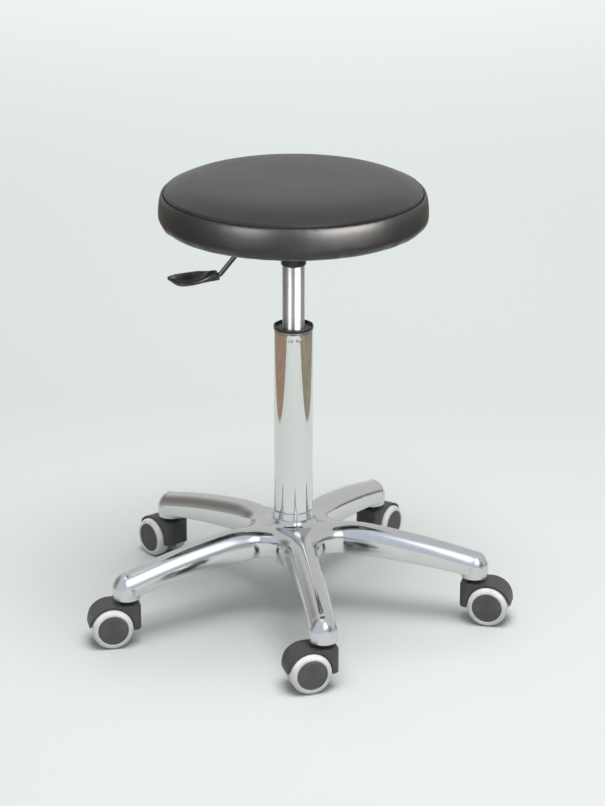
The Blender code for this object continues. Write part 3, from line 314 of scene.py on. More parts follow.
# Stage and light
FLOOR_HALF = 40.0
FLOOR_CELLS = 8
FLOOR_TINT = (0.955, 1.0, 0.98)
# Painted light and shade in the floor's colour, as tones along Y: darkest round the stool, lighter farther
# off
FLOOR_PAINTED_LIGHT_TONES = ((-4.2, 0.92), (-2.0, 0.66), (-0.7, 0.51), (0.8, 0.52), (2.0, 0.67), (4.2, 0.96))
PAPER_HALF = 0.72
PAPER_FRONT = -1.45
# Glowing strips round the paper that only show in reflections: painted reflections of boards and carpet
ROOM_FLOOR_HEIGHT = 0.004
ROOM_FLOOR = (
    ("left_boards", (-1.2, -4.0), (-PAPER_HALF, 4.0), (0.40, 0.285, 0.21)),
    ("right_boards", (PAPER_HALF, -4.0), (1.2, 4.0), (0.37, 0.33, 0.25)),
    ("left_carpet", (-8.0, -4.0), (-1.2, 4.0), (0.22, 0.21, 0.20)),
    ("right_carpet", (1.2, -4.0), (8.0, 4.0), (0.22, 0.21, 0.20)),
    ("front_carpet", (-PAPER_HALF, -8.0), (PAPER_HALF, PAPER_FRONT), (0.24, 0.21, 0.19)),
)
GLOW = 0.60
GLOW_COLOUR = (0.97, 1.0, 0.99)
# A glowing dome seen in reflections alone: painted reflections of the room, its dark and bright patches and a
# bright window
ROOM_RADIUS = 12.0
ROOM_TURN = (-0.35, 0.45)
ROOM_FRONT = (0.64, 0.71, 0.80)
ROOM_BACK = (0.66, 0.67, 0.66)
ROOM_PATCHES = (
    ((-0.88, 0.30, 0.36), 6.0, 32.0, (0.25, 0.235, 0.215)),
    ((0.80, -0.45, 0.15), 8.0, 26.0, (0.30, 0.29, 0.28)),
    ((-0.17, -0.17, 0.97), 4.0, 15.0, (1.3, 1.33, 1.37)),
)
WINDOW_HEADING = 25.0
WINDOW_HALF = (16.0, 25.0)
WINDOW_LOW = (0.30, 0.58)
WINDOW_HIGH = (0.78, 0.94)
WINDOW_COLOUR = (2.1, 2.1, 2.08)

# Soft boxes: name, width and depth, place, aim, watts, colour, and whether it is only mirrored
LIGHTS = (
    ("overhead", (2.1, 1.9), (0.3, -0.6, 3.0), (0.1, -0.2, 0.0), 116.0, (1.0, 1.0, 1.0), False),
    ("back", (3.2, 1.6), (0.0, 4.2, 3.5), (0.0, 4.2, 0.0), 34.0, (1.0, 1.0, 1.0), False),
    ("key", (2.6, 1.1), (1.88, -1.88, 1.2), (0.0, 0.0, 0.3), 185.0, (1.0, 0.96, 0.93), True),
    ("fill", (1.4, 1.2), (-1.63, -2.08, 1.2), (0.0, 0.0, 0.3), 56.0, (0.95, 0.98, 1.0), True),
)
SPARED = ("base_casting", "column_chromed", "cushion_top")

# Places and sizes read from the frame
BOSS_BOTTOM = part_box("star_base")[0].z
HUB_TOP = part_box("star_base")[1].z
TIP_CREASE = BOSS_BOTTOM + TIP_BOSS_HEIGHT
HUB_CREASE = TIP_CREASE + ARM_RISE
HUB_BOTTOM = HUB_TOP - HUB_DEPTH
COLUMN_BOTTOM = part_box("column_tube")[0].z
COLUMN_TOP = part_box("column_tube")[1].z
COLUMN_SEAT = HUB_TOP + COLUMN_SEAT_LIFT
BUSH_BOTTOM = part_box("guide_bush")[0].z
BUSH_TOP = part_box("guide_bush")[1].z
SOCKET_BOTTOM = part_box("socket_housing")[0].z
HOUSING_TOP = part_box("socket_housing")[1].z
HOUSING_BOTTOM = SOCKET_BOTTOM + SOCKET_LENGTH
PRESSURE_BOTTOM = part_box("pressure_tube")[0].z
PRESSURE_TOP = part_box("pressure_tube")[1].z
PLATE_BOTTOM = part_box("seat_plate")[0].z
LEVER_HEIGHT = PLATE_BOTTOM - LEVER_HEAD_GAP - LEVER_RADIUS
BOARD_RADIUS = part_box("seat_board")[1].x
BOARD_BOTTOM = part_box("seat_board")[0].z
BOARD_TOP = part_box("seat_board")[1].z
CUSHION_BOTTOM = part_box("seat_side_band")[0].z
SEAM_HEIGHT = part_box("seat_side_band")[1].z + SEAM_DIP
SEAT_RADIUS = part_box("seat_side_band")[1].x
SEAT_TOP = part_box("seat_top_panel")[1].z
AXLE_HEIGHT = (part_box("caster_front_axle")[0].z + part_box("caster_front_axle")[1].z) / 2
CAVITY_RADIUS = WHEEL_RADIUS + HOOD_GAP
HOOD_RADIUS = CAVITY_RADIUS + HOOD_WALL
HOOD_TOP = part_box("caster_front_hood")[1].z
WEB_HALF = WHEEL_INNER_FACE - FIT


# Mesh helpers

def mesh_from(bm, name, sharp=35.0):
    """Turn a bmesh into a mesh with outward faces, smooth except at edges sharper than the angle."""
    bmesh.ops.remove_doubles(bm, verts=bm.verts, dist=MERGE)
    bmesh.ops.recalc_face_normals(bm, faces=bm.faces)
    mesh = bpy.data.meshes.new(name)
    bm.to_mesh(mesh)
    bm.free()
    mesh.shade_smooth()
    mesh.set_sharp_from_angle(angle=math.radians(sharp))
    return mesh


def show(name, data):
    """A new object in the scene."""
    obj = bpy.data.objects.new(name, data)
    bpy.context.scene.collection.objects.link(obj)
    return obj


def add_piece(name, mesh, materials, body, nodes, slot, matrix=None, look=None):
    """Show a mesh in place of CAD nodes, riding on their body, in its slot's material or another look."""
    obj = show(name, mesh)
    material = materials[look or slot]
    if material.name not in mesh.materials:
        mesh.materials.append(material)
    if matrix is not None:
        obj.matrix_world = matrix
    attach(obj, body)
    if nodes:
        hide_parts(*nodes)
    return obj


def arc(centre, radius, start, end, steps):
    """Points on an arc, angles in degrees."""
    cx, cy = centre
    turns = [math.radians(start + (end - start) * i / steps) for i in range(steps + 1)]
    return [(cx + radius * math.cos(t), cy + radius * math.sin(t)) for t in turns]


def rounded(profile, radius, steps=4, closed=True):
    """Round the corners of a flat outline of points."""
    count = len(profile)
    points = []
    for i, point in enumerate(profile):
        here = Vector(point)
        if not closed and i in (0, count - 1):
            points.append(tuple(here))
            continue
        before = Vector(profile[i - 1]) - here
        after = Vector(profile[(i + 1) % count]) - here
        half = before.angle(after) / 2
        reach = radius / max(math.tan(half), TINY)
        reach = min(reach, CORNER_SHARE * before.length, CORNER_SHARE * after.length)
        if math.pi - 2 * half < LEAST_BEND:
            points.append(tuple(here))
            continue
        start = here + before.normalized() * reach
        end = here + after.normalized() * reach
        for step in range(steps + 1):
            t = step / steps
            points.append(tuple(start * (1 - t) ** 2 + here * (2 * t * (1 - t)) + end * t ** 2))
    return points


def level_ring(radius, height, sides, phase=0.0):
    """A level ring of points about the column's axis, or one point on the axis."""
    if radius < MERGE:
        return [Vector((0.0, 0.0, height))]
    turns = [phase + 2 * math.pi * i / sides for i in range(sides)]
    return [Vector((radius * math.cos(t), radius * math.sin(t), height)) for t in turns]


def row_body(rows, loop=False):
    """Join rings of points, some of them a single point, into a closed body."""
    bm = bmesh.new()
    made = [[bm.verts.new(point) for point in row] for row in rows]
    pairs = list(zip(made, made[1:])) + ([(made[-1], made[0])] if loop else [])
    for upper, lower in pairs:
        sides = max(len(upper), len(lower))
        for i in range(sides):
            j = (i + 1) % sides
            corners = [upper[i % len(upper)], lower[i % len(lower)]]
            corners += [lower[j % len(lower)], upper[j % len(upper)]]
            corners = list(dict.fromkeys(corners))
            if len(corners) > 2:
                bm.faces.new(corners)
    return bm


def lathe(profile, sides, phase=0.0, closed=True):
    """Spin (radius, height) points about Z: a closed profile is a ring, an open one ends on the axis."""
    return row_body([level_ring(radius, height, sides, phase) for radius, height in profile], closed)


def cylinder(radius, low, high, sides, phase=0.0):
    return lathe([(0, high), (radius, high), (radius, low), (0, low)], sides, phase, closed=False)


def picked(grown, kind):
    """What an extrusion made, of one kind."""
    return [item for item in grown["geom"] if isinstance(item, kind)]


def prism(outline, depth):
    """Extrude a flat outline of (x, y) points upwards from z = 0."""
    bm = bmesh.new()
    face = bm.faces.new([bm.verts.new((x, y, 0.0)) for x, y in outline])
    grown = bmesh.ops.extrude_face_region(bm, geom=[face])
    bmesh.ops.translate(bm, verts=picked(grown, bmesh.types.BMVert), vec=(0, 0, depth))
    return bm


def loft(sections):
    """Join equal rings of points, end to end, into one closed solid."""
    bm = bmesh.new()
    rings = [[bm.verts.new(point) for point in section] for section in sections]
    for near, far in zip(rings, rings[1:]):
        for i in range(len(near)):
            j = (i + 1) % len(near)
            bm.faces.new((near[i], near[j], far[j], far[i]))
    bm.faces.new(rings[0])
    bm.faces.new(rings[-1])
    return bm


def turn_about(axis, degrees):
    return Matrix.Rotation(math.radians(degrees), 4, axis)


def gather(tools):
    """Put several separate bodies, each a bmesh with its placing, into one tool mesh."""
    bodies = bmesh.new()
    for bm, matrix in tools:
        bmesh.ops.transform(bm, matrix=matrix, verts=bm.verts)
        bodies.from_mesh(mesh_from(bm, "tool"))
    return mesh_from(bodies, "tools")


def combine(target, tools, operation):
    """Boolean several tools into a target mesh and return the result as a new mesh."""
    body = show("body", target)
    tool = show("tool", gather(tools))
    modifier = body.modifiers.new("combine", "BOOLEAN")
    modifier.object = tool
    modifier.operation = operation
    result = bmesh.new()
    result.from_object(body, bpy.context.evaluated_depsgraph_get())
    for obj in (body, tool):
        bpy.data.objects.remove(obj, do_unlink=True)
    return mesh_from(result, target.name)


def bevel_edges(obj, width, segments=3, angle=35.0):
    modifier = obj.modifiers.new("edge", "BEVEL")
    modifier.width = width
    modifier.segments = segments
    modifier.limit_method = "ANGLE"
    modifier.angle_limit = math.radians(angle)
    modifier.harden_normals = True
    return obj


# Material helpers

def start_material(name, colour, roughness, metallic=0.0, **extra):
    """A new material, with what is the same all over set on its shader."""
    material = bpy.data.materials.new(name)
    material.use_nodes = True
    shader = material.node_tree.nodes["Principled BSDF"]
    shader.inputs["Base Color"].default_value = (*colour, 1.0)
    shader.inputs["Roughness"].default_value = roughness
    shader.inputs["Metallic"].default_value = metallic
    for key, value in extra.items():
        shader.inputs[key.replace("_", " ")].default_value = value
    return material


def add_node(material, kind, sockets=None, **settings):
    """Add a shader node: its settings, and its input sockets as values or links."""
    made = material.node_tree.nodes.new(kind)
    for key, value in settings.items():
        setattr(made, key, value)
    for key, value in (sockets or {}).items():
        if isinstance(value, bpy.types.NodeSocket):
            material.node_tree.links.new(value, made.inputs[key])
        else:
            made.inputs[key].default_value = value
    return made


def place(material, stretch=(1.0, 1.0, 1.0)):
    """The point on the piece, in metres, stretched along each axis."""
    here = add_node(material, "ShaderNodeTexCoord").outputs["Object"]
    return add_node(material, "ShaderNodeMapping", {"Vector": here, "Scale": stretch}).outputs["Vector"]


def mottle(material, scale, detail=3.0, stretch=(1.0, 1.0, 1.0)):
    sockets = {"Vector": place(material, stretch), "Scale": scale, "Detail": detail, "Roughness": 0.55}
    return add_node(material, "ShaderNodeTexNoise", sockets).outputs["Fac"]


def spread(material, value, low, high, start=0.3, end=0.7):
    """Map a value from start..end to low..high."""
    sockets = {"Value": value, "From Min": start, "From Max": end, "To Min": low, "To Max": high}
    return add_node(material, "ShaderNodeMapRange", sockets, clamp=True).outputs["Result"]


def tint(material, value, low, high):
    """Mix two colours by a value."""
    sockets = {"Factor": value, "A": low, "B": high}
    mix = add_node(material, "ShaderNodeMix", data_type="RGBA")
    for key, item in sockets.items():
        socket = [s for s in mix.inputs if s.name == key and s.enabled][0]
        if isinstance(item, bpy.types.NodeSocket):
            material.node_tree.links.new(item, socket)
        else:
            socket.default_value = (*item, 1.0)
    return [s for s in mix.outputs if s.enabled][0]


def calc(material, operation, *values):
    """One sum on values or links."""
    return add_node(material, "ShaderNodeMath", dict(enumerate(values)), operation=operation).outputs[0]


def sum_of(material, first, second, share):
    """The first value and a share of the second."""
    return calc(material, "MULTIPLY_ADD", second, share, first)


def along(material, axis):
    """The point's place along one axis of the piece."""
    return add_node(material, "ShaderNodeSeparateXYZ", {"Vector": place(material)}).outputs[axis]


def stripes(material, scale, direction, distortion=0.0, stretch=(1.0, 1.0, 1.0)):
    """Even bands across the piece."""
    sockets = {"Vector": place(material, stretch), "Scale": scale, "Distortion": distortion}
    return add_node(material, "ShaderNodeTexWave", sockets, bands_direction=direction).outputs["Fac"]


def shade(colour, share):
    """A colour made darker or lighter."""
    return tuple(min(1.0, part * share) for part in colour)


def wire(material, **links):
    """Link values to the shader's sockets."""
    shader = material.node_tree.nodes["Principled BSDF"]
    for key, value in links.items():
        material.node_tree.links.new(value, shader.inputs[key.replace("_", " ").title()])


def colour_by(material, value, dark, light, start=0.3, end=0.7):
    """Colour a material between two tones by a value that goes from start to end."""
    wire(material, base_color=tint(material, spread(material, value, 0.0, 1.0, start, end), dark, light))


def bump(material, height, distance, strength=1.0):
    sockets = {"Height": height, "Distance": distance, "Strength": strength}
    wire(material, normal=add_node(material, "ShaderNodeBump", sockets).outputs["Normal"])


# Materials

def vinyl():
    """Soft black upholstery vinyl: a fine pebbled grain, a slight sheen and rubbed patches."""
    material = start_material("seat_vinyl", (0.012, 0.0115, 0.011), 0.38, Specular_IOR_Level=0.58)
    cells = {"Vector": place(material), "Scale": 780.0, "Randomness": 1.0}
    grain = add_node(material, "ShaderNodeTexVoronoi", cells, feature="SMOOTH_F1").outputs["Distance"]
    fine = mottle(material, 2100.0, 2.0)
    worn = mottle(material, 14.0, 4.0)
    colour_by(material, worn, (0.013, 0.0126, 0.0122), (0.018, 0.0175, 0.0170))
    wire(material, roughness=spread(material, sum_of(material, worn, fine, 0.25), 0.33, 0.42, 0.4, 0.9))
    bump(material, sum_of(material, grain, fine, 0.5), 0.00011, 0.55)
    return material


def polished_casting():
    """Polished cast aluminium, a little wavy from the wheel, with turned bosses at the arm tips."""
    material = start_material("polished_aluminium", (0.67, 0.67, 0.68), 0.16, 1.0)
    haze = mottle(material, 160.0, 5.0)
    below = spread(material, along(material, "Z"), 1.0, 0.0, *(TIP_CREASE - drop for drop in TURNED_DROPS))
    flat = {0: place(material, (1.0, 1.0, 0.0))}
    reach = add_node(material, "ShaderNodeVectorMath", flat, operation="LENGTH").outputs["Value"]
    boss_start = TIP_RADIUS - TIP_BOSS_RADIUS
    outer = spread(material, reach, 0.0, 1.0, boss_start - TURNED_FADE, boss_start)
    turned = calc(material, "MULTIPLY", below, outer)
    rings = mottle(material, 1.0, 2.0, (40.0, 40.0, 6000.0))
    wire(material, roughness=sum_of(material, spread(material, haze, 0.09, 0.14), turned, 0.14))
    wire(material, base_color=tint(material, haze, (0.64, 0.64, 0.65), (0.70, 0.70, 0.70)))
    waves = calc(material, "MULTIPLY", mottle(material, 42.0, 1.0), calc(material, "SUBTRACT", 1.0, turned))
    lines = calc(material, "MULTIPLY", rings, turned)
    bump(material, sum_of(material, waves, lines, 0.05), 0.00035, 0.2)
    return material


def chrome():
    """Bright chromium plate with faint handling haze."""
    material = start_material("chrome_plate", (0.72, 0.72, 0.715), 0.05, 1.0)
    haze = mottle(material, 60.0, 5.0, (1.0, 1.0, 0.35))
    wire(material, roughness=spread(material, haze, 0.025, 0.07))
    wire(material, base_color=tint(material, haze, (0.70, 0.70, 0.69), (0.75, 0.75, 0.745)))
    bump(material, mottle(material, 22.0, 1.0, (1.0, 1.0, 0.2)), 0.0002, 0.12)
    return material


def ground_steel():
    """Ground steel of the gas spring: fine rings that draw reflections out lengthwise, and a faint mark."""
    clean = (0.62, 0.62, 0.615)
    material = start_material("ground_steel", clean, 0.48, 1.0, Anisotropic=0.97, Anisotropic_Rotation=0.25)
    rings = mottle(material, 1.0, 2.0, (30.0, 30.0, 5200.0))
    off = calc(material, "SUBTRACT", along(material, "Z"), SOCKET_BOTTOM - TUBE_MARK_DROP)
    mark = spread(material, calc(material, "ABSOLUTE", off), 1.0, 0.0, *TUBE_MARK_FADE)
    wire(material, base_color=tint(material, mark, clean, (0.52, 0.52, 0.51)))
    wire(material, roughness=spread(material, rings, 0.45, 0.51))
    around = add_node(material, "ShaderNodeTangent", direction_type="RADIAL", axis="Z").outputs["Tangent"]
    wire(material, tangent=around)
    bump(material, rings, 0.00002, 0.15)
    return material


def moulded(name, colour, roughness, grain=1500.0, depth=0.00005, vary=0.25):
    """Moulded plastic: a fine even texture, colour and gloss that vary a little."""
    material = start_material(name, colour, roughness)
    texture = mottle(material, grain, 3.0)
    patch = mottle(material, 55.0, 4.0)
    colour_by(material, patch, shade(colour, 1 - vary), shade(colour, 1 + vary))
    wire(material, roughness=spread(material, patch, roughness - 0.06, roughness + 0.06))
    bump(material, texture, depth, 0.5)
    return material


def tyre_rubber():
    """Pale soft tyre, a little scuffed and dusty on the tread."""
    material = start_material("tyre_pale_rubber", (0.58, 0.585, 0.575), 0.5)
    scuff = mottle(material, 130.0, 6.0)
    patch = mottle(material, 24.0, 3.0)
    dust = sum_of(material, patch, scuff, 0.5)
    colour_by(material, dust, (0.52, 0.52, 0.505), (0.62, 0.625, 0.615), 0.55, 0.95)
    wire(material, roughness=spread(material, scuff, 0.42, 0.6))
    bump(material, mottle(material, 1200.0, 2.0), 0.00003, 0.4)
    return material


def enamel(name, colour, roughness):
    """Stoved black enamel with a slight orange peel and rubbed spots."""
    material = start_material(name, colour, roughness)
    rub = mottle(material, 90.0, 5.0)
    colour_by(material, rub, colour, shade(colour, 1.8), 0.5, 0.75)
    wire(material, roughness=spread(material, rub, roughness - 0.07, roughness + 0.08))
    bump(material, mottle(material, 420.0, 2.0), 0.00006, 0.3)
    return material


def steel(name, colour, roughness):
    """Plain or plated steel of the hidden pieces."""
    material = start_material(name, colour, roughness, 1.0)
    stain = mottle(material, 120.0, 5.0)
    colour_by(material, stain, shade(colour, 0.8), colour)
    wire(material, roughness=spread(material, stain, roughness - 0.08, roughness + 0.1))
    bump(material, mottle(material, 900.0, 2.0), 0.00003, 0.3)
    return material


def plywood():
    """Birch plywood: five plies seen at the edge, grain on the faces."""
    material = start_material("birch_plywood", (0.55, 0.40, 0.24), 0.65)
    grain = mottle(material, 9.0, 6.0, (1.0, 14.0, 1.0))
    mixed = sum_of(material, grain, stripes(material, 66.0, "Z", 0.4), 0.35)
    colour_by(material, mixed, (0.40, 0.27, 0.14), (0.66, 0.50, 0.32), 0.35, 1.0)
    bump(material, mixed, 0.0002, 0.3)
    return material


def dust_fabric():
    """Grey non-woven cloth, pressed in a small diamond pattern."""
    material = start_material("dust_cloth", (0.30, 0.30, 0.29), 0.92)
    fibres = mottle(material, 800.0, 6.0)
    first = stripes(material, 260.0, "DIAGONAL")
    second = stripes(material, 260.0, "DIAGONAL", stretch=(1.0, -1.0, 1.0))
    diamonds = calc(material, "MULTIPLY", first, second)
    colour_by(material, fibres, (0.25, 0.25, 0.245), (0.36, 0.36, 0.35))
    bump(material, sum_of(material, diamonds, fibres, 0.8), 0.00025, 0.6)
    return material


def thread():
    """Black sewing thread, twisted."""
    material = start_material("black_thread", (0.012, 0.012, 0.012), 0.6, Sheen_Weight=0.3)
    strands = stripes(material, 2400.0, "DIAGONAL", 1.0)
    wire(material, base_color=tint(material, strands, (0.008, 0.008, 0.008), (0.022, 0.022, 0.022)))
    bump(material, strands, 0.0001, 0.5)
    return material


# Cast base

def half_sector():
    return math.pi / ARM_COUNT


def arm_turn(index, size):
    """The turn from +X to an arm, as a matrix of a size."""
    return Matrix.Rotation(math.radians(FRONT_ARM_ANGLE) + index * 2 * half_sector(), size, "Z")


def fillet_reach():
    """Distance along an arm where its straight side ends and the fillet to the next arm starts."""
    return (ARM_HUB_HALF_WIDTH + ARM_FILLET) / math.tan(half_sector())


def fillet_centre():
    distance = (ARM_HUB_HALF_WIDTH + ARM_FILLET) / math.sin(half_sector())
    return Vector((distance * math.cos(half_sector()), distance * math.sin(half_sector())))


def smooth_step(value, start, end):
    share = max(0.0, min(1.0, (value - start) / (end - start)))
    return share * share * (3 - 2 * share)


def arm_share(x):
    return (TIP_RADIUS - x) / (TIP_RADIUS - fillet_reach())


def arm_half_width(x):
    return ARM_TIP_HALF_WIDTH + (ARM_HUB_HALF_WIDTH - ARM_TIP_HALF_WIDTH) * max(0.0, min(1.0, arm_share(x)))


def crease_height(x):
    share = arm_share(min(x, TIP_RADIUS)) / arm_share(0.0)
    return TIP_CREASE + ARM_RISE * ((1 + ARM_ARCH) * share - ARM_ARCH * share * share)


def dome_height(x):
    return HUB_DOME + (ARM_DOME - HUB_DOME) * smooth_step(x, HUB_BLEND_START, HUB_BLEND_END)


def skirt_depth(x):
    return SKIRT_AT_TIP + (SKIRT_AT_HUB - SKIRT_AT_TIP) * max(0.0, min(1.0, arm_share(x)))


def run_along(x, y):
    """How far out a point of half an arm counts: along the arm, or from the middle near the hub."""
    out = math.hypot(x, y)
    return out + (min(x, TIP_RADIUS) - out) * smooth_step(x, 0.0, fillet_reach())


def edge_distance(x, y):
    """Distance of a point of half an arm from the outline, as a share of the half width."""
    if x > TIP_RADIUS:
        return 1 - math.hypot(x - TIP_RADIUS, y) / ARM_TIP_HALF_WIDTH
    if x > fillet_reach():
        return 1 - y / arm_half_width(x)
    away = (Vector((x, y)) - fillet_centre()).length - ARM_FILLET
    return min(1.0, away / ARM_HUB_HALF_WIDTH)


def top_height(x, y):
    """Height of the domed top over half an arm, with the hub's neck rising from it."""
    along = run_along(x, y)
    across = 1 - max(0.0, edge_distance(x, y))
    low = math.sqrt(1 - ARM_CREASE ** 2)
    swell = (math.sqrt(max(0.0, 1 - (ARM_CREASE * across) ** 2)) - low) / (1 - low)
    height = crease_height(along) + dome_height(along) * swell
    inside = NECK_RADIUS + NECK_FILLET - math.hypot(x, y)
    if inside > 0:
        height += NECK_FILLET - math.sqrt(max(0.0, NECK_FILLET ** 2 - inside ** 2))
    return height


def half_outline(fillet_steps=12, side_steps=30, tip_steps=12):
    """Half an arm: points of the outline, each with its mate on the neck's circle or the arm's spine."""
    reach = fillet_reach()
    centre = fillet_centre()
    sector = math.degrees(half_sector())
    pairs = []
    for i in range(fillet_steps + 1):
        share = i / fillet_steps
        turn = half_sector() * (1 - share)
        edge = arc(centre, ARM_FILLET, 180 + sector + (90 - sector) * share, 360, 1)[0]
        pairs.append((Vector(edge), Vector((NECK_RADIUS * math.cos(turn), NECK_RADIUS * math.sin(turn)))))
    for i in range(1, side_steps + 1):
        x = reach + (TIP_RADIUS - reach) * i / side_steps
        bend = max(0.0, (SPINE_SPREAD - x) / (SPINE_SPREAD - reach))
        spine = x - (reach - NECK_RADIUS) * bend
        pairs.append((Vector((x, arm_half_width(x))), Vector((spine, 0.0))))
    for x, y in arc((TIP_RADIUS, 0.0), ARM_TIP_HALF_WIDTH, 90, 0, tip_steps)[1:]:
        pairs.append((Vector((x, y)), Vector((TIP_RADIUS, 0.0))))
    return pairs


def skirt_bottom(edge):
    along = run_along(edge.x, edge.y)
    return crease_height(along) - skirt_depth(along)


def half_arm_rows(dome_steps=22):
    """Rows of points of half an arm, from the neck or spine over the dome and down the skirt."""
    shares = [0.5 - 0.5 * math.cos(math.pi * i / dome_steps) for i in range(dome_steps + 1)]
    rows = []
    for edge, mate in half_outline():
        column = []
        for share in shares:
            flat = mate + (edge - mate) * share
            column.append(Vector((flat.x, flat.y, top_height(flat.x, flat.y))))
        low = skirt_bottom(edge)
        inward = (mate - edge).normalized() * SKIRT_EDGE
        column.append(Vector((edge.x, edge.y, (column[-1].z + low) / 2)))
        for out, up in arc((SKIRT_EDGE, SKIRT_EDGE), SKIRT_EDGE, 180, 270, 3):
            point = edge + inward * (out / SKIRT_EDGE)
            column.append(Vector((point.x, point.y, low + up)))
        column.append(Vector((mate.x, mate.y, low)))
        rows.append(column)
    return rows


def star_mesh():
    """The five arms and the neck as one closed body."""
    rows = half_arm_rows()
    bm = bmesh.new()
    for index in range(ARM_COUNT):
        turn = arm_turn(index, 3)
        for side in (1, -1):
            flip = Matrix.Diagonal((1.0, side, 1.0))
            grid = [[bm.verts.new(turn @ (flip @ point)) for point in column] for column in rows]
            for near, far in zip(grid, grid[1:]):
                for i in range(len(near) - 1):
                    corners = [near[i], near[i + 1], far[i + 1], far[i]]
                    bm.faces.new(corners if side == 1 else corners[::-1])
    bmesh.ops.remove_doubles(bm, verts=bm.verts, dist=MERGE)
    bmesh.ops.dissolve_degenerate(bm, dist=MERGE, edges=bm.edges)
    rims = [edge for edge in bm.edges if edge.is_boundary]
    upper = [e for e in rims if min(v.co.z for v in e.verts) > HUB_CREASE]
    lower = [e for e in rims if e not in upper]
    lift = bmesh.ops.extrude_edge_only(bm, edges=upper)
    raised = picked(lift, bmesh.types.BMVert)
    for vert in raised:
        vert.co.z = HUB_TOP - NECK_EDGE
    rim = [edge for edge in picked(lift, bmesh.types.BMEdge) if all(v in raised for v in edge.verts)]
    lip = bmesh.ops.extrude_edge_only(bm, edges=rim)
    for vert in picked(lip, bmesh.types.BMVert):
        flat = Vector((vert.co.x, vert.co.y)).normalized() * (NECK_RADIUS - NECK_EDGE)
        vert.co = (flat.x, flat.y, HUB_TOP)
    bmesh.ops.holes_fill(bm, edges=[e for e in bm.edges if e.is_boundary and e not in lower])
    bmesh.ops.holes_fill(bm, edges=[e for e in bm.edges if e.is_boundary])
    return mesh_from(bm, "star_base")


def pocket_section(x, steps=12):
    """A slice of the hollow under an arm, square to the arm."""
    half = arm_half_width(x) - ARM_WALL
    top = crease_height(x)
    rise = dome_height(x) - ARM_WALL
    below = top - skirt_depth(x) - ARM_WALL
    points = [(x, half * c, top + rise * s) for c, s in arc((0.0, 0.0), 1.0, 0, 180, steps)]
    return points + [(x, -half, below), (x, half, below)]


def base_mesh():
    start = HUB_BOSS_RADIUS + ARM_WALL
    end = TIP_RADIUS - TIP_BOSS_RADIUS - POCKET_END_WALL
    stations = [start + (end - start) * i / POCKET_STEPS for i in range(POCKET_STEPS + 1)]
    socket_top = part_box("caster_front_stem")[1].z + FIT
    hub = [(HUB_BOSS_RADIUS, HUB_CREASE), (HUB_BOSS_RADIUS, HUB_BOTTOM), (0, HUB_BOTTOM)]
    hub = [(0, HUB_CREASE)] + rounded(hub, HUB_EDGE, 3, False)
    solids = [(lathe(hub, RING_SIDES, BOSS_PHASE, closed=False), Matrix())]
    bore = cylinder(COLUMN_LOWER_RADIUS + FIT, HUB_BOTTOM - FIT, HUB_TOP + FIT, RING_SIDES, BORE_PHASE)
    hollows = [(bore, Matrix())]
    boss_top = TIP_CREASE - TIP_LEDGE
    boss = [(0, boss_top), (TIP_BOSS_RADIUS, boss_top), (TIP_BOSS_RADIUS, BOSS_BOTTOM), (0, BOSS_BOTTOM)]
    boss = rounded(boss, TIP_BOSS_EDGE, 3, False)
    for index in range(ARM_COUNT):
        turn = arm_turn(index, 4)
        tip = turn @ Matrix.Translation((TIP_RADIUS, 0, 0))
        solids.append((lathe(boss, RING_SIDES, BOSS_PHASE, closed=False), tip))
        hollows.append((loft([pocket_section(x) for x in stations]), turn))
        hollows.append((cylinder(STEM_TOP_RADIUS + FIT, BOSS_BOTTOM - FIT, socket_top, PIN_SIDES), tip))
    return combine(combine(star_mesh(), solids, "UNION"), hollows, "DIFFERENCE")


# Column and gas spring

def dented(mesh):
    """Press two small round crimps into the column's front, near its top."""
    for vert in mesh.vertices:
        if math.hypot(vert.co.x, vert.co.y) < COLUMN_RADIUS - COLUMN_EDGE / 2:
            continue
        turn = math.atan2(vert.co.x, -vert.co.y)
        depth = 0.0
        for place_turn in DENT_TURNS:
            across = (turn - place_turn) * COLUMN_RADIUS
            away = math.hypot(across, vert.co.z - COLUMN_TOP + DENT_DROP) / DENT_RADIUS
            if away < 1:
                depth += DENT_DEPTH * (1 - away * away) ** 1.5
        share = 1 - depth / COLUMN_RADIUS
        vert.co.x *= share
        vert.co.y *= share
    return mesh


def column_mesh():
    """The column: open at the top, stepped in at the hub, with a floor for the bearing at its foot."""
    inner = COLUMN_RADIUS - COLUMN_WALL
    lower_inner = COLUMN_LOWER_RADIUS - COLUMN_WALL
    hole = ROD_FOOT_RADIUS + FIT
    floor_bottom = COLUMN_BOTTOM + COLUMN_FLOOR_LIFT
    floor_top = floor_bottom + COLUMN_FLOOR
    outside = [(COLUMN_RADIUS, COLUMN_TOP), (COLUMN_RADIUS, COLUMN_SEAT), (COLUMN_LOWER_RADIUS, COLUMN_SEAT)]
    foot = [(COLUMN_LOWER_RADIUS, COLUMN_BOTTOM), (lower_inner, COLUMN_BOTTOM), (lower_inner, floor_bottom),
            (hole, floor_bottom), (hole, floor_top), (lower_inner, floor_top)]
    inside = [(lower_inner, COLUMN_SEAT), (inner, COLUMN_SEAT + COLUMN_SHOULDER), (inner, COLUMN_TOP)]
    corner_steps = 4
    profile = rounded(outside + foot + inside, COLUMN_EDGE, corner_steps)
    low = COLUMN_TOP - DENT_DROP - DENT_RADIUS - DENT_MARGIN
    high = COLUMN_TOP - DENT_DROP + DENT_RADIUS + DENT_MARGIN
    drop = COLUMN_SEAT + COLUMN_FOOT - low
    fine = [(COLUMN_RADIUS, high + (low - high) * i / DENT_ROWS) for i in range(DENT_ROWS + 1)]
    long_run = [(COLUMN_RADIUS, low + drop * i / COLUMN_ROWS) for i in range(1, COLUMN_ROWS + 1)]
    profile = profile[:corner_steps + 1] + fine + long_run + profile[corner_steps + 1:]
    return dented(mesh_from(lathe(profile, COLUMN_SIDES), "column_tube"))


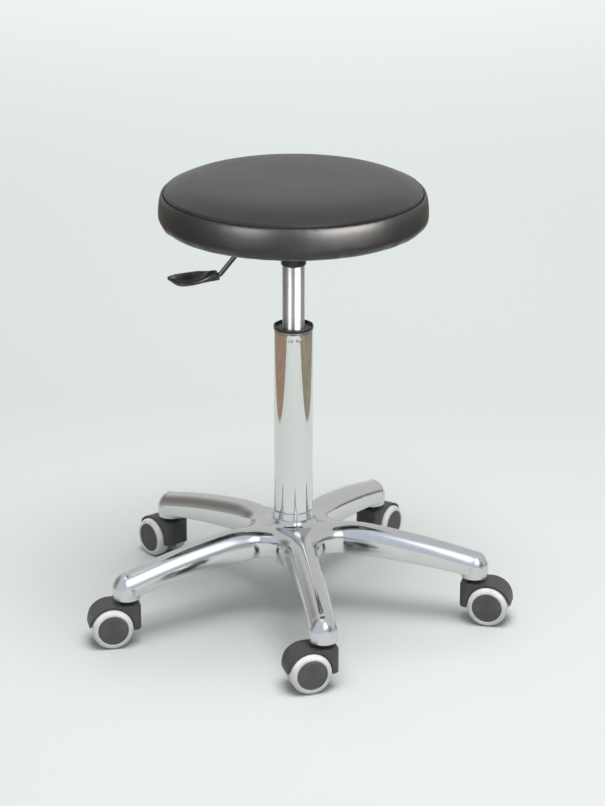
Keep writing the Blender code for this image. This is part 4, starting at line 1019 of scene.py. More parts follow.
def bush_mesh():
    rim = COLUMN_RADIUS + BUSH_RIM_PROUD
    sleeve = COLUMN_RADIUS - COLUMN_WALL - FIT
    bore = PRESSURE_RADIUS + FIT
    ledge = BUSH_TOP - BUSH_RECESS
    profile = rounded([
        (rim, BUSH_TOP), (rim, BUSH_TOP - BUSH_RIM_HEIGHT), (sleeve, BUSH_TOP - BUSH_RIM_HEIGHT),
        (sleeve, BUSH_BOTTOM), (bore, BUSH_BOTTOM), (bore, ledge), (rim - BUSH_RIM_WALL, ledge),
        (rim - BUSH_RIM_WALL, BUSH_TOP),
    ], BUSH_ROUND, 3)
    half = BUSH_NOTCH_WIDTH / 2
    reach = rim - BUSH_NOTCH_SKIN - PRESSURE_RADIUS
    outline = [(0, -half), (reach, -half), (reach, half), (0, half)]
    lift = Matrix.Translation((PRESSURE_RADIUS, 0, BUSH_TOP - BUSH_NOTCH_DEPTH))
    notches = []
    for index in range(BUSH_NOTCHES):
        turn = turn_about("Z", 360 * (index + 0.5) / BUSH_NOTCHES)
        notches.append((prism(outline, BUSH_RIM_HEIGHT), turn @ lift))
    return combine(mesh_from(lathe(profile, TUBE_SIDES, BUSH_PHASE), "guide_bush"), notches, "DIFFERENCE")


def tube_mesh():
    """The pressure tube: tapered into its socket, grooved near its foot, hollow between end and valve."""
    inner = PRESSURE_RADIUS - PRESSURE_WALL
    rod_hole = ROD_RADIUS + FIT
    button_hole = BUTTON_RADIUS + FIT
    groove = PRESSURE_BOTTOM + TUBE_GROOVE_LIFT
    profile = rounded([
        (PRESSURE_RADIUS - TAPER_DROP, PRESSURE_TOP), (PRESSURE_RADIUS, SOCKET_BOTTOM),
        (PRESSURE_RADIUS, groove + 2 * TUBE_GROOVE), (PRESSURE_RADIUS - TUBE_GROOVE, groove),
        (PRESSURE_RADIUS, groove - 2 * TUBE_GROOVE), (PRESSURE_RADIUS, PRESSURE_BOTTOM),
        (rod_hole, PRESSURE_BOTTOM), (rod_hole, PRESSURE_BOTTOM + PRESSURE_END),
        (inner, PRESSURE_BOTTOM + PRESSURE_END), (inner, PRESSURE_TOP - VALVE_BLOCK),
        (button_hole, PRESSURE_TOP - VALVE_BLOCK), (button_hole, PRESSURE_TOP),
    ], TAPER_DROP, 4)
    return mesh_from(lathe(profile, TUBE_SIDES), "pressure_tube")


def rounded_square(half, corner, steps=6):
    inner = half - corner
    points = []
    for quarter, (sx, sy) in enumerate(((1, 1), (-1, 1), (-1, -1), (1, -1))):
        points += arc((sx * inner, sy * inner), corner, 90 * quarter, 90 * quarter + 90, steps)
    return points


def housing_mesh():
    """The open box that carries the lever, with the socket for the gas spring under it."""
    square = rounded_square(HOUSING_HALF, HOUSING_CORNER)
    mesh = mesh_from(prism(square, HOUSING_TOP - HOUSING_BOTTOM), "housing")
    mesh.transform(Matrix.Translation((0, 0, HOUSING_BOTTOM)))
    hollow = prism(rounded_square(HOUSING_HALF - HOUSING_WALL, HOUSING_CORNER - HOUSING_WALL), HOUSING_TOP)
    lift = Matrix.Translation((0, 0, HOUSING_BOTTOM + HOUSING_FLOOR))
    mesh = combine(mesh, [(hollow, lift)], "DIFFERENCE")
    mouth = arc((SOCKET_RADIUS - SOCKET_ROUND, SOCKET_BOTTOM + SOCKET_ROUND), SOCKET_ROUND, 0, -90, 8)
    foot_radius = SOCKET_RADIUS + SOCKET_FOOT_ROUND
    foot = arc((foot_radius, HOUSING_BOTTOM - SOCKET_FOOT_ROUND), SOCKET_FOOT_ROUND, 90, 180, 6)
    outside = [(0, PRESSURE_TOP - FIT), (SOCKET_RADIUS, PRESSURE_TOP - FIT)]
    outside.append((SOCKET_RADIUS, HOUSING_BOTTOM + 2 * SOCKET_SINK))
    outside += [(foot_radius, HOUSING_BOTTOM + SOCKET_SINK), *foot, *mouth, (0, SOCKET_BOTTOM)]
    mesh = combine(mesh, [(lathe(outside, RING_SIDES, closed=False), Matrix())], "UNION")
    bore = cylinder(PRESSURE_RADIUS + FIT, SOCKET_BOTTOM - FIT, PRESSURE_TOP + FIT, RING_SIDES, BORE_PHASE)
    window = cylinder(GROMMET_RADIUS + FIT, -HOUSING_WALL, 2 * HOUSING_WALL, PIN_SIDES)
    through = Matrix.Translation((-HOUSING_HALF, 0, LEVER_HEIGHT)) @ turn_about("Y", 90)
    return combine(mesh, [(bore, Matrix()), (window, through)], "DIFFERENCE")


# Casters, modelled with the stem on Z and the wheels trailing along +X

def foot_and_trail(name):
    """Where a caster's stem stands, and how its axle lies from there."""
    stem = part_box(f"caster_{name}_stem")
    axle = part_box(f"caster_{name}_axle")
    foot = (stem[0] + stem[1]) / 2
    return foot, (axle[0] + axle[1]) / 2 - foot


def trail():
    away = foot_and_trail("front")[1]
    return math.hypot(away.x, away.y)


def caster_frame(name):
    """The caster's own axes: origin under its stem, X the way its wheels trail."""
    foot, away = foot_and_trail(name)
    return Matrix.Translation((foot.x, foot.y, 0)) @ Matrix.Rotation(math.atan2(away.y, away.x), 4, "Z")


def hood_outline():
    """The hood's side view in X and Z: back wall, flat top, arch over the wheels, web round the axle."""
    back = -HOOD_BACK
    axle = (trail(), AXLE_HEIGHT)
    corner = (back + HOOD_BACK_ROUND, HOOD_TOP - HOOD_BACK_ROUND)
    points = arc((back + HOOD_CHAMFER, HOOD_BACK_LIFT + HOOD_CHAMFER), HOOD_CHAMFER, 270, 180, 4)
    points += arc(corner, HOOD_BACK_ROUND, 180, 90, 6)
    points += arc(axle, HOOD_RADIUS, 90, HOOD_TIP_TURN, 28)
    tip_x, tip_z = points[-1]
    points.append((tip_x - HOOD_LIP, tip_z))
    points += arc(axle, AXLE_BOSS_RADIUS, *HOOD_BOSS_ARC, 14)
    points.append((trail() - CAVITY_RADIUS, HOOD_BACK_LIFT))
    return points


def hood_plan():
    """The hood seen from above, its front and back corners rounded."""
    front = trail() + HOOD_RADIUS - HOOD_FRONT_ROUND
    front_side = HOOD_HALF_WIDTH - HOOD_FRONT_ROUND
    back = HOOD_PLAN_ROUND - HOOD_BACK
    back_side = HOOD_HALF_WIDTH - HOOD_PLAN_ROUND
    points = arc((front, -front_side), HOOD_FRONT_ROUND, -90, 0, 10)
    points += arc((front, front_side), HOOD_FRONT_ROUND, 0, 90, 10)
    points += arc((back, back_side), HOOD_PLAN_ROUND, 90, 180, 10)
    return points + arc((back, -back_side), HOOD_PLAN_ROUND, 180, 270, 10)


def hood_mesh():
    upright = turn_about("X", 90)
    past = HOOD_HALF_WIDTH + HOOD_WALL
    mesh = mesh_from(prism(hood_outline(), 2 * past), "caster_hood")
    mesh.transform(upright @ Matrix.Translation((0, 0, -past)))
    mesh = combine(mesh, [(prism(hood_plan(), HOOD_TOP + HOOD_WALL), Matrix())], "INTERSECT")
    axle = Matrix.Translation((trail(), 0, AXLE_HEIGHT)) @ upright
    near = cylinder(CAVITY_RADIUS, WEB_HALF, past, RING_SIDES, CAVITY_PHASE)
    far = cylinder(CAVITY_RADIUS, -past, -WEB_HALF, RING_SIDES, CAVITY_PHASE)
    mesh = combine(mesh, [(near, axle), (far, axle)], "DIFFERENCE")
    axle_hole = cylinder(AXLE_RADIUS + FIT, -past, past, PIN_SIDES, AXLE_PHASE)
    stem_hole = cylinder(STEM_RADIUS + FIT, HOOD_TOP - STEM_DEPTH - FIT, HOOD_TOP + FIT, PIN_SIDES)
    return combine(mesh, [(axle_hole, axle), (stem_hole, Matrix())], "DIFFERENCE")


def stem_mesh():
    collar_low = HOOD_TOP + FIT
    collar_high = BOSS_BOTTOM - FIT
    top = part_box("caster_front_stem")[1].z
    middle = (collar_low + collar_high) / 2
    profile = rounded([
        (0, top), (STEM_TOP_RADIUS - STEM_TAPER, top), (STEM_TOP_RADIUS, top - STEM_TAPER),
        (STEM_TOP_RADIUS, collar_high), (STEM_COLLAR_RADIUS, collar_high),
        (STEM_COLLAR_RADIUS, middle + STEM_GROOVE), (STEM_COLLAR_RADIUS - STEM_GROOVE, middle),
        (STEM_COLLAR_RADIUS, middle - STEM_GROOVE),
        (STEM_COLLAR_RADIUS, collar_low), (STEM_RADIUS, collar_low), (STEM_RADIUS, HOOD_TOP - STEM_DEPTH),
        (0, HOOD_TOP - STEM_DEPTH),
    ], STEM_EDGE, 2, closed=False)
    return mesh_from(lathe(profile, PIN_SIDES, closed=False), "caster_stem")


def core_mesh():
    """A wheel's dark core: a dished inner side on the axle, and the flat disc that shows outside."""
    face = WHEEL_INNER_FACE + TYRE_WIDTH - CORE_RECESS
    rim = TYRE_SEAT_RADIUS - FIT
    bore = AXLE_RADIUS + FIT
    dished = WHEEL_INNER_FACE + CORE_DISH
    line_in, line, line_out = (rim - inset for inset in CORE_LINE)
    profile = rounded([
        (0, face + CORE_CROWN), (line_in, face), (line, face - CORE_LINE_DEPTH), (line_out, face),
        (rim, face), (rim, WHEEL_INNER_FACE), (rim - CORE_DISH / 2, WHEEL_INNER_FACE),
        (rim - CORE_DISH, dished), (AXLE_BOSS_RADIUS, dished),
        (AXLE_BOSS_RADIUS - CORE_BOSS_TAPER, WHEEL_INNER_FACE), (bore, WHEEL_INNER_FACE),
        (bore, face - CORE_DISC), (0, face - CORE_DISC),
    ], CORE_EDGE, 3, closed=False)
    return mesh_from(lathe(profile, WHEEL_SIDES, closed=False), "wheel_core")


def tyre_mesh():
    """A wheel's pale tyre: a well-rounded outer shoulder, a fine parting line round the tread."""
    inner = WHEEL_INNER_FACE
    outer = WHEEL_INNER_FACE + TYRE_WIDTH
    reach = AXLE_HEIGHT
    seat = TYRE_SEAT_RADIUS
    line = TYRE_LINE
    parting = outer - TYRE_OUTER_ROUND - 3 * line
    outer_round = arc((reach - TYRE_OUTER_ROUND, outer - TYRE_OUTER_ROUND), TYRE_OUTER_ROUND, 88, 2, 14)
    inner_round = arc((reach - TYRE_INNER_ROUND, inner + TYRE_INNER_ROUND), TYRE_INNER_ROUND, -2, -88, 8)
    profile = [(seat, outer - line), (seat + line, outer), *outer_round]
    profile += [(reach, parting + line), (reach - line / 3, parting), (reach, parting - line), *inner_round]
    profile += [(seat + line, inner), (seat, inner + line)]
    return mesh_from(lathe(profile, WHEEL_SIDES), "wheel_tyre", 60.0)


def add_casters(materials):
    stem, hood, core, tyre = stem_mesh(), hood_mesh(), core_mesh(), tyre_mesh()
    halves = (("disc", core, "core", "wheel_grey"), ("tread", tyre, "tyre", "tyre_pale"))
    along_axle = turn_about("X", -90)
    for name in CASTERS:
        swivel = caster_frame(name)
        stock = f"caster_{name}"
        add_piece(f"{stock}_stem_turned", stem, materials, "base", [f"{stock}_stem"], "dark_steel", swivel)
        cover = add_piece(f"{stock}_hood_moulded", hood, materials, stock, [f"{stock}_hood"], "black_nylon",
                          swivel)
        bevel_edges(cover, HOOD_EDGE)
        axle = swivel @ Matrix.Translation((trail(), 0, AXLE_HEIGHT))
        for side, turn in (("left", 0.0), ("right", 180.0)):
            wheel = axle @ turn_about("Z", turn) @ along_axle
            body = f"{stock}_wheel_{side}"
            for piece, mesh, node, slot in halves:
                add_piece(f"{stock}_{piece}_{side}", mesh, materials, body, [f"{stock}_{node}_{side}"], slot,
                          wheel)


# Release lever

def lever_points(bend_steps=14):
    """The lever rod's centre line in X and Z: over the button, out of the housing, down to the paddle."""
    slope = math.radians(LEVER_SLOPE)
    dip = math.radians(LEVER_DIP)
    out = -(HOUSING_HALF + LEVER_BEND_OUT)
    corners = [Vector((LEVER_INNER_END, LEVER_HEIGHT)), Vector((out, LEVER_HEIGHT))]
    corners.append(Vector((out - LEVER_DROP / math.tan(slope), LEVER_HEIGHT - LEVER_DROP)))
    length = PADDLE_NECK_GAP + PADDLE_SOCKET + LEVER_BEND_RADIUS * math.tan((slope - dip) / 2)
    corners.append(corners[-1] + Vector((-math.cos(dip), -math.sin(dip))) * length)
    points = [corners[0]]
    for before, corner, after in zip(corners, corners[1:], corners[2:]):
        come = (corner - before).normalized()
        leave = (after - corner).normalized()
        bend = come.angle(leave)
        setback = LEVER_BEND_RADIUS * math.tan(bend / 2)
        centre = corner + (leave - come).normalized() * (LEVER_BEND_RADIUS / math.cos(bend / 2))
        first = corner - come * setback - centre
        last = corner + leave * setback - centre
        for i in range(bend_steps + 1):
            points.append(centre + first.slerp(last, i / bend_steps).normalized() * LEVER_BEND_RADIUS)
    points.append(corners[-1])
    return points


def rod_mesh():
    """A round rod along the lever's centre line, its ends rounded off."""
    points = lever_points()
    first = (points[1] - points[0]).normalized()
    last = (points[-1] - points[-2]).normalized()
    rings = [(points[0] + first * LEVER_RADIUS * depth, first, share) for depth, share in ROD_END_ROUND]
    for before, here, after in zip(points, points[1:], points[2:]):
        rings.append((here, (after - before).normalized(), 1.0))
    rings += [(points[-1] - last * LEVER_RADIUS * depth, last, share) for depth, share in ROD_END_ROUND[::-1]]
    sections = []
    for middle, run, share in rings:
        side = Vector((-run.y, run.x))
        section = []
        for across, over in arc((0.0, 0.0), LEVER_RADIUS * share, 0, 360, PIN_SIDES)[:-1]:
            flat = middle + side * across
            section.append((flat.x, over, flat.y))
        sections.append(section)
    return mesh_from(loft(sections), "lever_rod", 50.0)


def paddle_frame():
    end = lever_points()[-1]
    dip = math.radians(LEVER_DIP)
    start = end + Vector((math.cos(dip), math.sin(dip))) * PADDLE_SOCKET
    spot = Matrix.Translation((start.x, 0, start.y))
    return spot @ turn_about("Z", 180) @ turn_about("Y", LEVER_DIP) @ turn_about("X", -PADDLE_ROLL)


def curve_through(points, steps, closed):
    """A smooth curve through points, with so many steps between each two."""
    count = len(points)
    known = [Vector(point) for point in points]
    curve = []
    for i in range(count if closed else count - 1):
        start = known[i]
        end = known[(i + 1) % count]
        before = known[i - 1] if closed or i else 2 * start - end
        after = known[(i + 2) % count] if closed or i + 2 < count else 2 * end - start
        spans = ((before, start), (start, end), (end, after))
        d0, d1, d2 = (max((b - a).length, MERGE) ** 0.5 for a, b in spans)
        leave = d1 * ((start - before) / d0 - (end - before) / (d0 + d1) + (end - start) / d1)
        arrive = d1 * ((end - start) / d1 - (after - start) / (d1 + d2) + (after - end) / d2)
        for step in range(steps):
            t = step / steps
            rest = 1 - t
            curve.append(start * (rest * rest * (1 + 2 * t)) + leave * (t * rest * rest)
                         + end * (t * t * (3 - 2 * t)) - arrive * (t * t * rest))
    if not closed:
        curve.append(known[-1])
    return curve


def paddle_outline(half):
    """A slice of the dished blade: the near rim, the dish, the far rim and the keel below."""
    rim = min(PADDLE_RIM, PADDLE_RIM_SHARE * half)
    deep = min(1.0, half / PADDLE_FULL_DEPTH)
    lift = deep * PADDLE_RIM_LIFT
    dish = -deep * PADDLE_DISH
    keel = -deep * PADDLE_KEEL
    inner = half - rim
    crest = half - rim / 2
    across, down = PADDLE_DISH_POINT
    upper = [(half, lift), (crest, lift + rim / 2), (inner, lift), (across * inner, down * dish), (0.0, dish)]
    lower = [(across * half, down * keel) for across, down in PADDLE_KEEL_POINTS]
    far_upper = [(-y, z) for y, z in upper[-2::-1]]
    far_lower = [(-y, z) for y, z in lower]
    return upper + far_upper + far_lower + [(0.0, keel)] + lower[::-1]


def paddle_section(share, far, near, blade):
    """A slice across the paddle: blade 0 is the round neck, its end cut slanting, and 1 the dished blade."""
    half = PADDLE_HALF_WIDTH * (near + far) / 2
    middle = PADDLE_HALF_WIDTH * (near - far) / 2
    slant = PADDLE_NECK_SLANT if share == 0 else 0.0
    points = []
    for degrees, (flat_y, flat_z) in zip(PADDLE_TURNS, paddle_outline(half)):
        round_y = half * math.cos(math.radians(degrees))
        round_z = PADDLE_NECK_RADIUS * math.sin(math.radians(degrees))
        y = round_y + (flat_y - round_y) * blade
        z = round_z + (flat_z - round_z) * blade
        points.append((PADDLE_LENGTH * share + slant * z, middle + y, z))
    return curve_through(points, 4, closed=True)


def paddle_mesh():
    """A spoon-like paddle: a round neck that flattens and widens to a dished blade with a slanting end."""
    slices = [paddle_section(*station) for station in PADDLE_STATIONS]
    lengthwise = [curve_through(line, 5, closed=False) for line in zip(*slices)]
    mesh = mesh_from(loft(list(zip(*lengthwise))), "lever_paddle", 50.0)
    mouth = PADDLE_NECK_SLANT * PADDLE_NECK_RADIUS + FIT
    bore = cylinder(LEVER_RADIUS + FIT, -mouth, PADDLE_SOCKET + FIT, PIN_SIDES)
    return combine(mesh, [(bore, turn_about("Y", 90))], "DIFFERENCE")


# Cushion

def crown_profile(steps=26):
    """The top panel's outside, from the middle out to the seam."""
    crown = SEAT_TOP - SEAM_HEIGHT
    points = [(CROWN_FLAT_RADIUS * i / CROWN_FLAT_STEPS, SEAT_TOP) for i in range(CROWN_FLAT_STEPS + 1)]
    for i in range(1, steps + 1):
        out = math.sin(i / steps * math.pi / 2)
        radius = CROWN_FLAT_RADIUS + (SEAM_RADIUS - CROWN_FLAT_RADIUS) * out
        points.append((radius, SEAM_HEIGHT + crown * (1 - out ** CROWN_EASE)))
    points[-1] = (SEAM_RADIUS, SEAM_HEIGHT - SEAM_DIP)
    return points


def seam_row():
    """The row of the cover that lies on the seam."""
    return len(crown_profile()) - 1


def band_profile(steps=20):
    """The side band's outside: out from the seam, round the bulge and tucked under to the hem."""
    bulge = SEAT_RADIUS - SEAM_RADIUS
    low = SEAM_HEIGHT - CUSHION_BOTTOM - BULGE_DROP
    points = []
    for i in range(1, steps + 1):
        turn = math.pi / 2 * i / steps
        points.append((SEAM_RADIUS + bulge * math.sin(turn), SEAM_HEIGHT - BULGE_DROP * (1 - math.cos(turn))))
    for i in range(1, steps + 1):
        turn = math.pi / 2 * i / steps
        points.append((SEAT_RADIUS - BAND_TUCK * (1 - math.cos(turn)),
                       SEAM_HEIGHT - BULGE_DROP - low * math.sin(turn)))
    points += [(BOARD_RADIUS - HEM_BEND, CUSHION_BOTTOM), (HEM_INNER_RADIUS, CUSHION_BOTTOM)]
    return points


def smaller(profile, distance, held):
    """Draw a profile inwards by a distance, except near the held points."""
    moved = []
    for i, point in enumerate(profile):
        here = Vector(point)
        before = Vector(profile[max(0, i - 1)])
        after = Vector(profile[min(len(profile) - 1, i + 1)])
        run = (after - before).normalized()
        near = min((here - Vector(profile[h])).length for h in held)
        share = smooth_step(near, 0.0, SWELL_REACH)
        moved.append(tuple(here + Vector((run.y, -run.x)) * (distance * share)))
    return moved


def swell(rows, held_rows):
    """Blow the slack cover up with cloth simulation, holding its seam and hem, and give back its rows."""
    mesh = mesh_from(row_body(rows), "cover", 80.0)
    obj = show("cover", mesh)
    starts = [sum(len(row) for row in rows[:i]) for i in range(len(rows))]
    pinned = [starts[i] + k for i in held_rows for k in range(len(rows[i]))]
    held = obj.vertex_groups.new(name="held")
    held.add(pinned, 1.0, "REPLACE")
    cloth = obj.modifiers.new("cloth", "CLOTH")
    for key, value in CLOTH_SETTINGS.items():
        setattr(cloth.settings, key, value)
    cloth.settings.effector_weights.gravity = 0.0
    cloth.point_cache.frame_start = 1
    cloth.point_cache.frame_end = CLOTH_FRAMES
    scene = bpy.context.scene
    for step in range(1, CLOTH_FRAMES + 1):
        scene.frame_set(step)
    result = obj.evaluated_get(bpy.context.evaluated_depsgraph_get())
    moved = [vert.co.copy() for vert in result.data.vertices]
    swollen = []
    for row, start in zip(rows, starts):
        pushes = [moved[start + k] - point for k, point in enumerate(row)]
        limits = [min(1.0, SWELL_CAP / max(push.length, MERGE)) for push in pushes]
        swollen.append([point + push * limit for point, push, limit in zip(row, pushes, limits)])
    bpy.data.objects.remove(obj, do_unlink=True)
    scene.frame_set(1)
    return swollen


def finer(row, sides):
    """The same ring with more points, on a smooth curve through the old ones."""
    count = len(row)
    if count == 1:
        return row
    points = []
    for i in range(sides):
        at = i * count / sides
        k = int(at)
        t = at - k
        p0, p1, p2, p3 = (row[(k + d) % count] for d in (-1, 0, 1, 2))
        points.append(0.5 * (2 * p1 + (p2 - p0) * t + (2 * p0 - 5 * p1 + 4 * p2 - p3) * t ** 2
                             + (3 * p1 - p0 - 3 * p2 + p3) * t ** 3))
    return points


def round_noise(turn, scale, seed):
    """Smooth noise round the seat."""
    return noise.noise(Vector((math.cos(turn) * scale, math.sin(turn) * scale, seed)))


def ripple(turn, count, seed):
    """An uneven wave round the seat: about count waves, none quite alike."""
    slow, quick = RIPPLE_SCALES
    least, more = RIPPLE_STRENGTH
    drift = round_noise(turn, slow, seed)
    strength = least + more * round_noise(turn, quick, seed + RIPPLE_SHIFT)
    return strength * math.sin(count * turn + RIPPLE_DRIFT * drift)


def sewn(point):
    """Draw a point of the cover in at the seam, with a lip and puckers by it and gathers at the bottom."""
    out = math.hypot(point.x, point.y)
    if out < CROWN_FLAT_RADIUS:
        return point
    turn = math.atan2(point.y, point.x)
    away = math.hypot(out - SEAM_RADIUS, point.z - SEAM_HEIGHT + SEAM_DIP)
    tuck = SEAM_TUCK_DEPTH * math.exp(-(away / SEAM_TUCK_WIDTH) ** 2)
    lip = LIP_HEIGHT * math.exp(-((SEAM_RADIUS - out - LIP_PLACE) / LIP_WIDTH) ** 2)
    pucker = PUCKER_DEPTH * math.exp(-away / PUCKER_REACH) * ripple(turn, PUCKER_COUNT, PUCKER_SEED)
    pull = 0.0
    if out > BOARD_RADIUS:
        low = max(0.0, 1 - abs(point.z - CUSHION_BOTTOM - GATHER_LIFT) / GATHER_REACH)
        pull = GATHER_DEPTH * low * low * ripple(turn, GATHER_COUNT, GATHER_SEED)
    share = 1 + (pull + pucker / 2) / out
    return Vector((point.x * share, point.y * share, point.z + lip + pucker - tuck))


def cover_rows():
    """Rings of points of the finished cover, from the middle of the top to the hem."""
    profile = crown_profile() + band_profile()
    seam = seam_row()
    hem = len(profile) - 1
    closing = [(BOARD_RADIUS / 2, CUSHION_BOTTOM), (0.0, CUSHION_BOTTOM)]
    slack = smaller(profile, SWELL, (seam, hem)) + closing
    rows = [level_ring(max(0.0, r), z, SIM_SIDES) for r, z in slack]
    rows = swell(rows, [seam] + list(range(hem - 1, len(rows))))[:hem + 1]
    return [[sewn(point) for point in finer(row, SEAT_SIDES)] for row in rows]


def cushion_top_mesh(rows):
    """What lies over the seam: the crowned panel on its padding, closed underneath on the board."""
    seam = seam_row()
    inside = SEAM_RADIUS - FIT
    base = BOARD_TOP + BOARD_GAP
    body = rows[:seam]
    under = [(inside - FIT / 2, SEAM_HEIGHT - SEAM_TURN), (inside - FIT, SEAM_HEIGHT - 2 * SEAM_TURN)]
    for radius, height in (*under, (inside - FIT, base), (0.0, base)):
        body.append(level_ring(radius, height, SEAT_SIDES))
    return mesh_from(row_body(body), "cushion_top", 60.0)


def cushion_band_mesh(rows):
    """What lies under the seam: the bulging side band on its padding, hemmed under the board."""
    seam = seam_row()
    base = BOARD_TOP + BOARD_GAP
    hem_top = BOARD_BOTTOM - BOARD_GAP
    edge = BOARD_RADIUS + BOARD_GAP
    body = [level_ring(SEAM_RADIUS, SEAM_HEIGHT - 2 * SEAM_TURN, SEAT_SIDES)]
    body.append(level_ring(SEAM_RADIUS + FIT / 2, SEAM_HEIGHT - SEAM_TURN, SEAT_SIDES))
    body += rows[seam + 1:]
    for radius, height in ((HEM_INNER_RADIUS, hem_top), (edge, hem_top), (edge, base), (SEAM_RADIUS, base)):
        body.append(level_ring(radius, height, SEAT_SIDES))
    return mesh_from(row_body(body, loop=True), "cushion_band", 60.0)


def height_at(rows, radius, turn):
    """Height of the top panel at a radius and an angle."""
    k = round(turn / (2 * math.pi) * SEAT_SIDES) % SEAT_SIDES
    seam = seam_row()
    run = [(math.hypot(row[k].x, row[k].y), row[k].z) for row in rows[1:seam + 1]]
    for (r0, z0), (r1, z1) in zip(run, run[1:]):
        if r0 <= radius <= r1:
            return z0 + (z1 - z0) * (radius - r0) / (r1 - r0)
    return run[-1][1]


def stitch_mesh(rows):
    """A ring of stitches just inside the seam, each a short thread arched out of the vinyl."""
    ring_radius = SEAM_RADIUS - STITCH_INSET
    count = int(2 * math.pi * ring_radius / STITCH_PITCH)
    bodies = bmesh.new()
    for index in range(count):
        sections = []
        for step in range(STITCH_STEPS + 1):
            share = step / STITCH_STEPS - 0.5
            turn = 2 * math.pi * index / count + share * STITCH_LENGTH / ring_radius
            lift = STITCH_THREAD * (STITCH_ARCH[0] - STITCH_ARCH[1] * share * share)
            height = height_at(rows, ring_radius, turn) + lift
            ring = []
            for k in range(THREAD_SIDES):
                around = 2 * math.pi * k / THREAD_SIDES
                radius = ring_radius + STITCH_THREAD * math.cos(around)
                up = height + STITCH_THREAD * math.sin(around)
                ring.append((radius * math.cos(turn), radius * math.sin(turn), up))
            sections.append(ring)
        bodies.from_mesh(mesh_from(loft(sections), "stitch"))
    return mesh_from(bodies, "seam_stitches", 80.0)


def staple_mesh():
    """Wire staples round the hem, each a flattened crown with its ends bent up into the cover."""
    radius = (HEM_INNER_RADIUS + BOARD_RADIUS) / 2
    half = STAPLE_LENGTH / 2
    route = [(-half, STAPLE_WIRE * 2), (-half, 0.0), (half, 0.0), (half, STAPLE_WIRE * 2)]
    route = rounded(route, STAPLE_WIRE, 3, closed=False)
    square = ((-1, -1), (1, -1), (1, 1), (-1, 1))
    thick = STAPLE_WIRE * STAPLE_FLATNESS
    out = Matrix.Translation((radius, 0, CUSHION_BOTTOM - STAPLE_WIRE))
    bodies = bmesh.new()
    for index in range(STAPLE_COUNT):
        tilt = STAPLE_TILT * noise.noise(Vector((index * 1.7, 0.3, 5.0)))
        spot = turn_about("Z", 360 * index / STAPLE_COUNT) @ out @ turn_about("Z", 90 + tilt)
        sections = []
        for x, z in route:
            sections.append([spot @ Vector((x, sy * STAPLE_WIRE, z + sz * thick)) for sy, sz in square])
        bodies.from_mesh(mesh_from(loft(sections), "staple"))
    return mesh_from(bodies, "hem_staples")


def dust_cover_mesh():
    """The grey cloth under the board, slack in shallow folds between the plate and the hem."""
    low, high = (corner.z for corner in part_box("dust_cover"))
    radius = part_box("dust_cover")[1].x
    sides = SEAT_SIDES // 2
    rows = [[Vector((0.0, 0.0, high))]]
    for i in range(1, DUST_STEPS + 1):
        rows.append(level_ring(radius * i / DUST_STEPS, high, sides))
    for i in range(DUST_STEPS, 0, -1):
        ring = []
        for point in level_ring(radius * i / DUST_STEPS, low, sides):
            fold = ripple(math.atan2(point.y, point.x), DUST_FOLDS, DUST_SEED)
            slack = math.sin(math.pi * i / DUST_STEPS) * fold * (high - low) * DUST_SLACK
            ring.append(point + Vector((0.0, 0.0, abs(slack))))
        rows.append(ring)
    rows.append([Vector((0.0, 0.0, low))])
    return mesh_from(row_body(rows), "dust_cover")


def add_seat(materials):
    rows = cover_rows()
    top = add_piece("cushion_top", cushion_top_mesh(rows), materials, "seat", ["seat_top_panel", "seat_foam"],
                    "black_vinyl")
    band = add_piece("cushion_band", cushion_band_mesh(rows), materials, "seat", ["seat_side_band"],
                     "black_vinyl")
    add_piece("seam_stitches", stitch_mesh(rows), materials, "seat", [], "black_vinyl", look="thread")
    add_piece("hem_staples", staple_mesh(), materials, "seat", [], "zinc_steel")
    add_piece("dust_cloth", dust_cover_mesh(), materials, "seat", ["dust_cover"], "dust_fabric")
    add_piece("gas_tube", tube_mesh(), materials, "seat", ["pressure_tube"], "satin_steel")
    housing = add_piece("lever_housing", housing_mesh(), materials, "seat", ["socket_housing"],
                        "black_enamel")
    bevel_edges(housing, HOUSING_EDGE, 2)
    add_piece("lever_bent_rod", rod_mesh(), materials, "lever", ["lever_rod"], "black_enamel")
    paddle = add_piece("lever_spoon", paddle_mesh(), materials, "lever", ["lever_paddle"], "black_plastic",
                       paddle_frame())
    bevel_edges(paddle, PADDLE_EDGE, 3, 50.0)


def add_base(materials):
    add_piece("base_casting", base_mesh(), materials, "base", ["star_base"], "cast_aluminium")
    add_piece("column_chromed", column_mesh(), materials, "base", ["column_tube"], "chrome_tube")
    bush = add_piece("bush_moulded", bush_mesh(), materials, "base", ["guide_bush"], "black_plastic")
    bevel_edges(bush, BUSH_EDGE, 2)


def dress_carried(materials):
    """Give every CAD node that still shows its material, and break the edges of the flat ones."""
    finishes = {
        "thrust_bearing": "satin_steel", "piston_rod": "satin_steel", "piston": "black_plastic",
        "bump_stop": "rubber", "retaining_clip": "zinc_steel", "release_button": "zinc_steel",
        "seat_board": "plywood", "lever_grommet": "rubber", "seat_plate": "black_enamel",
    }
    bolts = [f"plate_bolt_{i}" for i in range(1, PLATE_BOLTS + 1)]
    finishes.update({name: "zinc_steel" for name in bolts})
    finishes.update({f"caster_{name}_axle": "dark_steel" for name in CASTERS})
    for name, finish in finishes.items():
        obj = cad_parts[name]
        obj.data.materials.clear()
        obj.data.materials.append(materials[finish])
    for name in ["seat_plate"] + bolts:
        bevel_edges(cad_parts[name], PLATE_EDGE, 2)


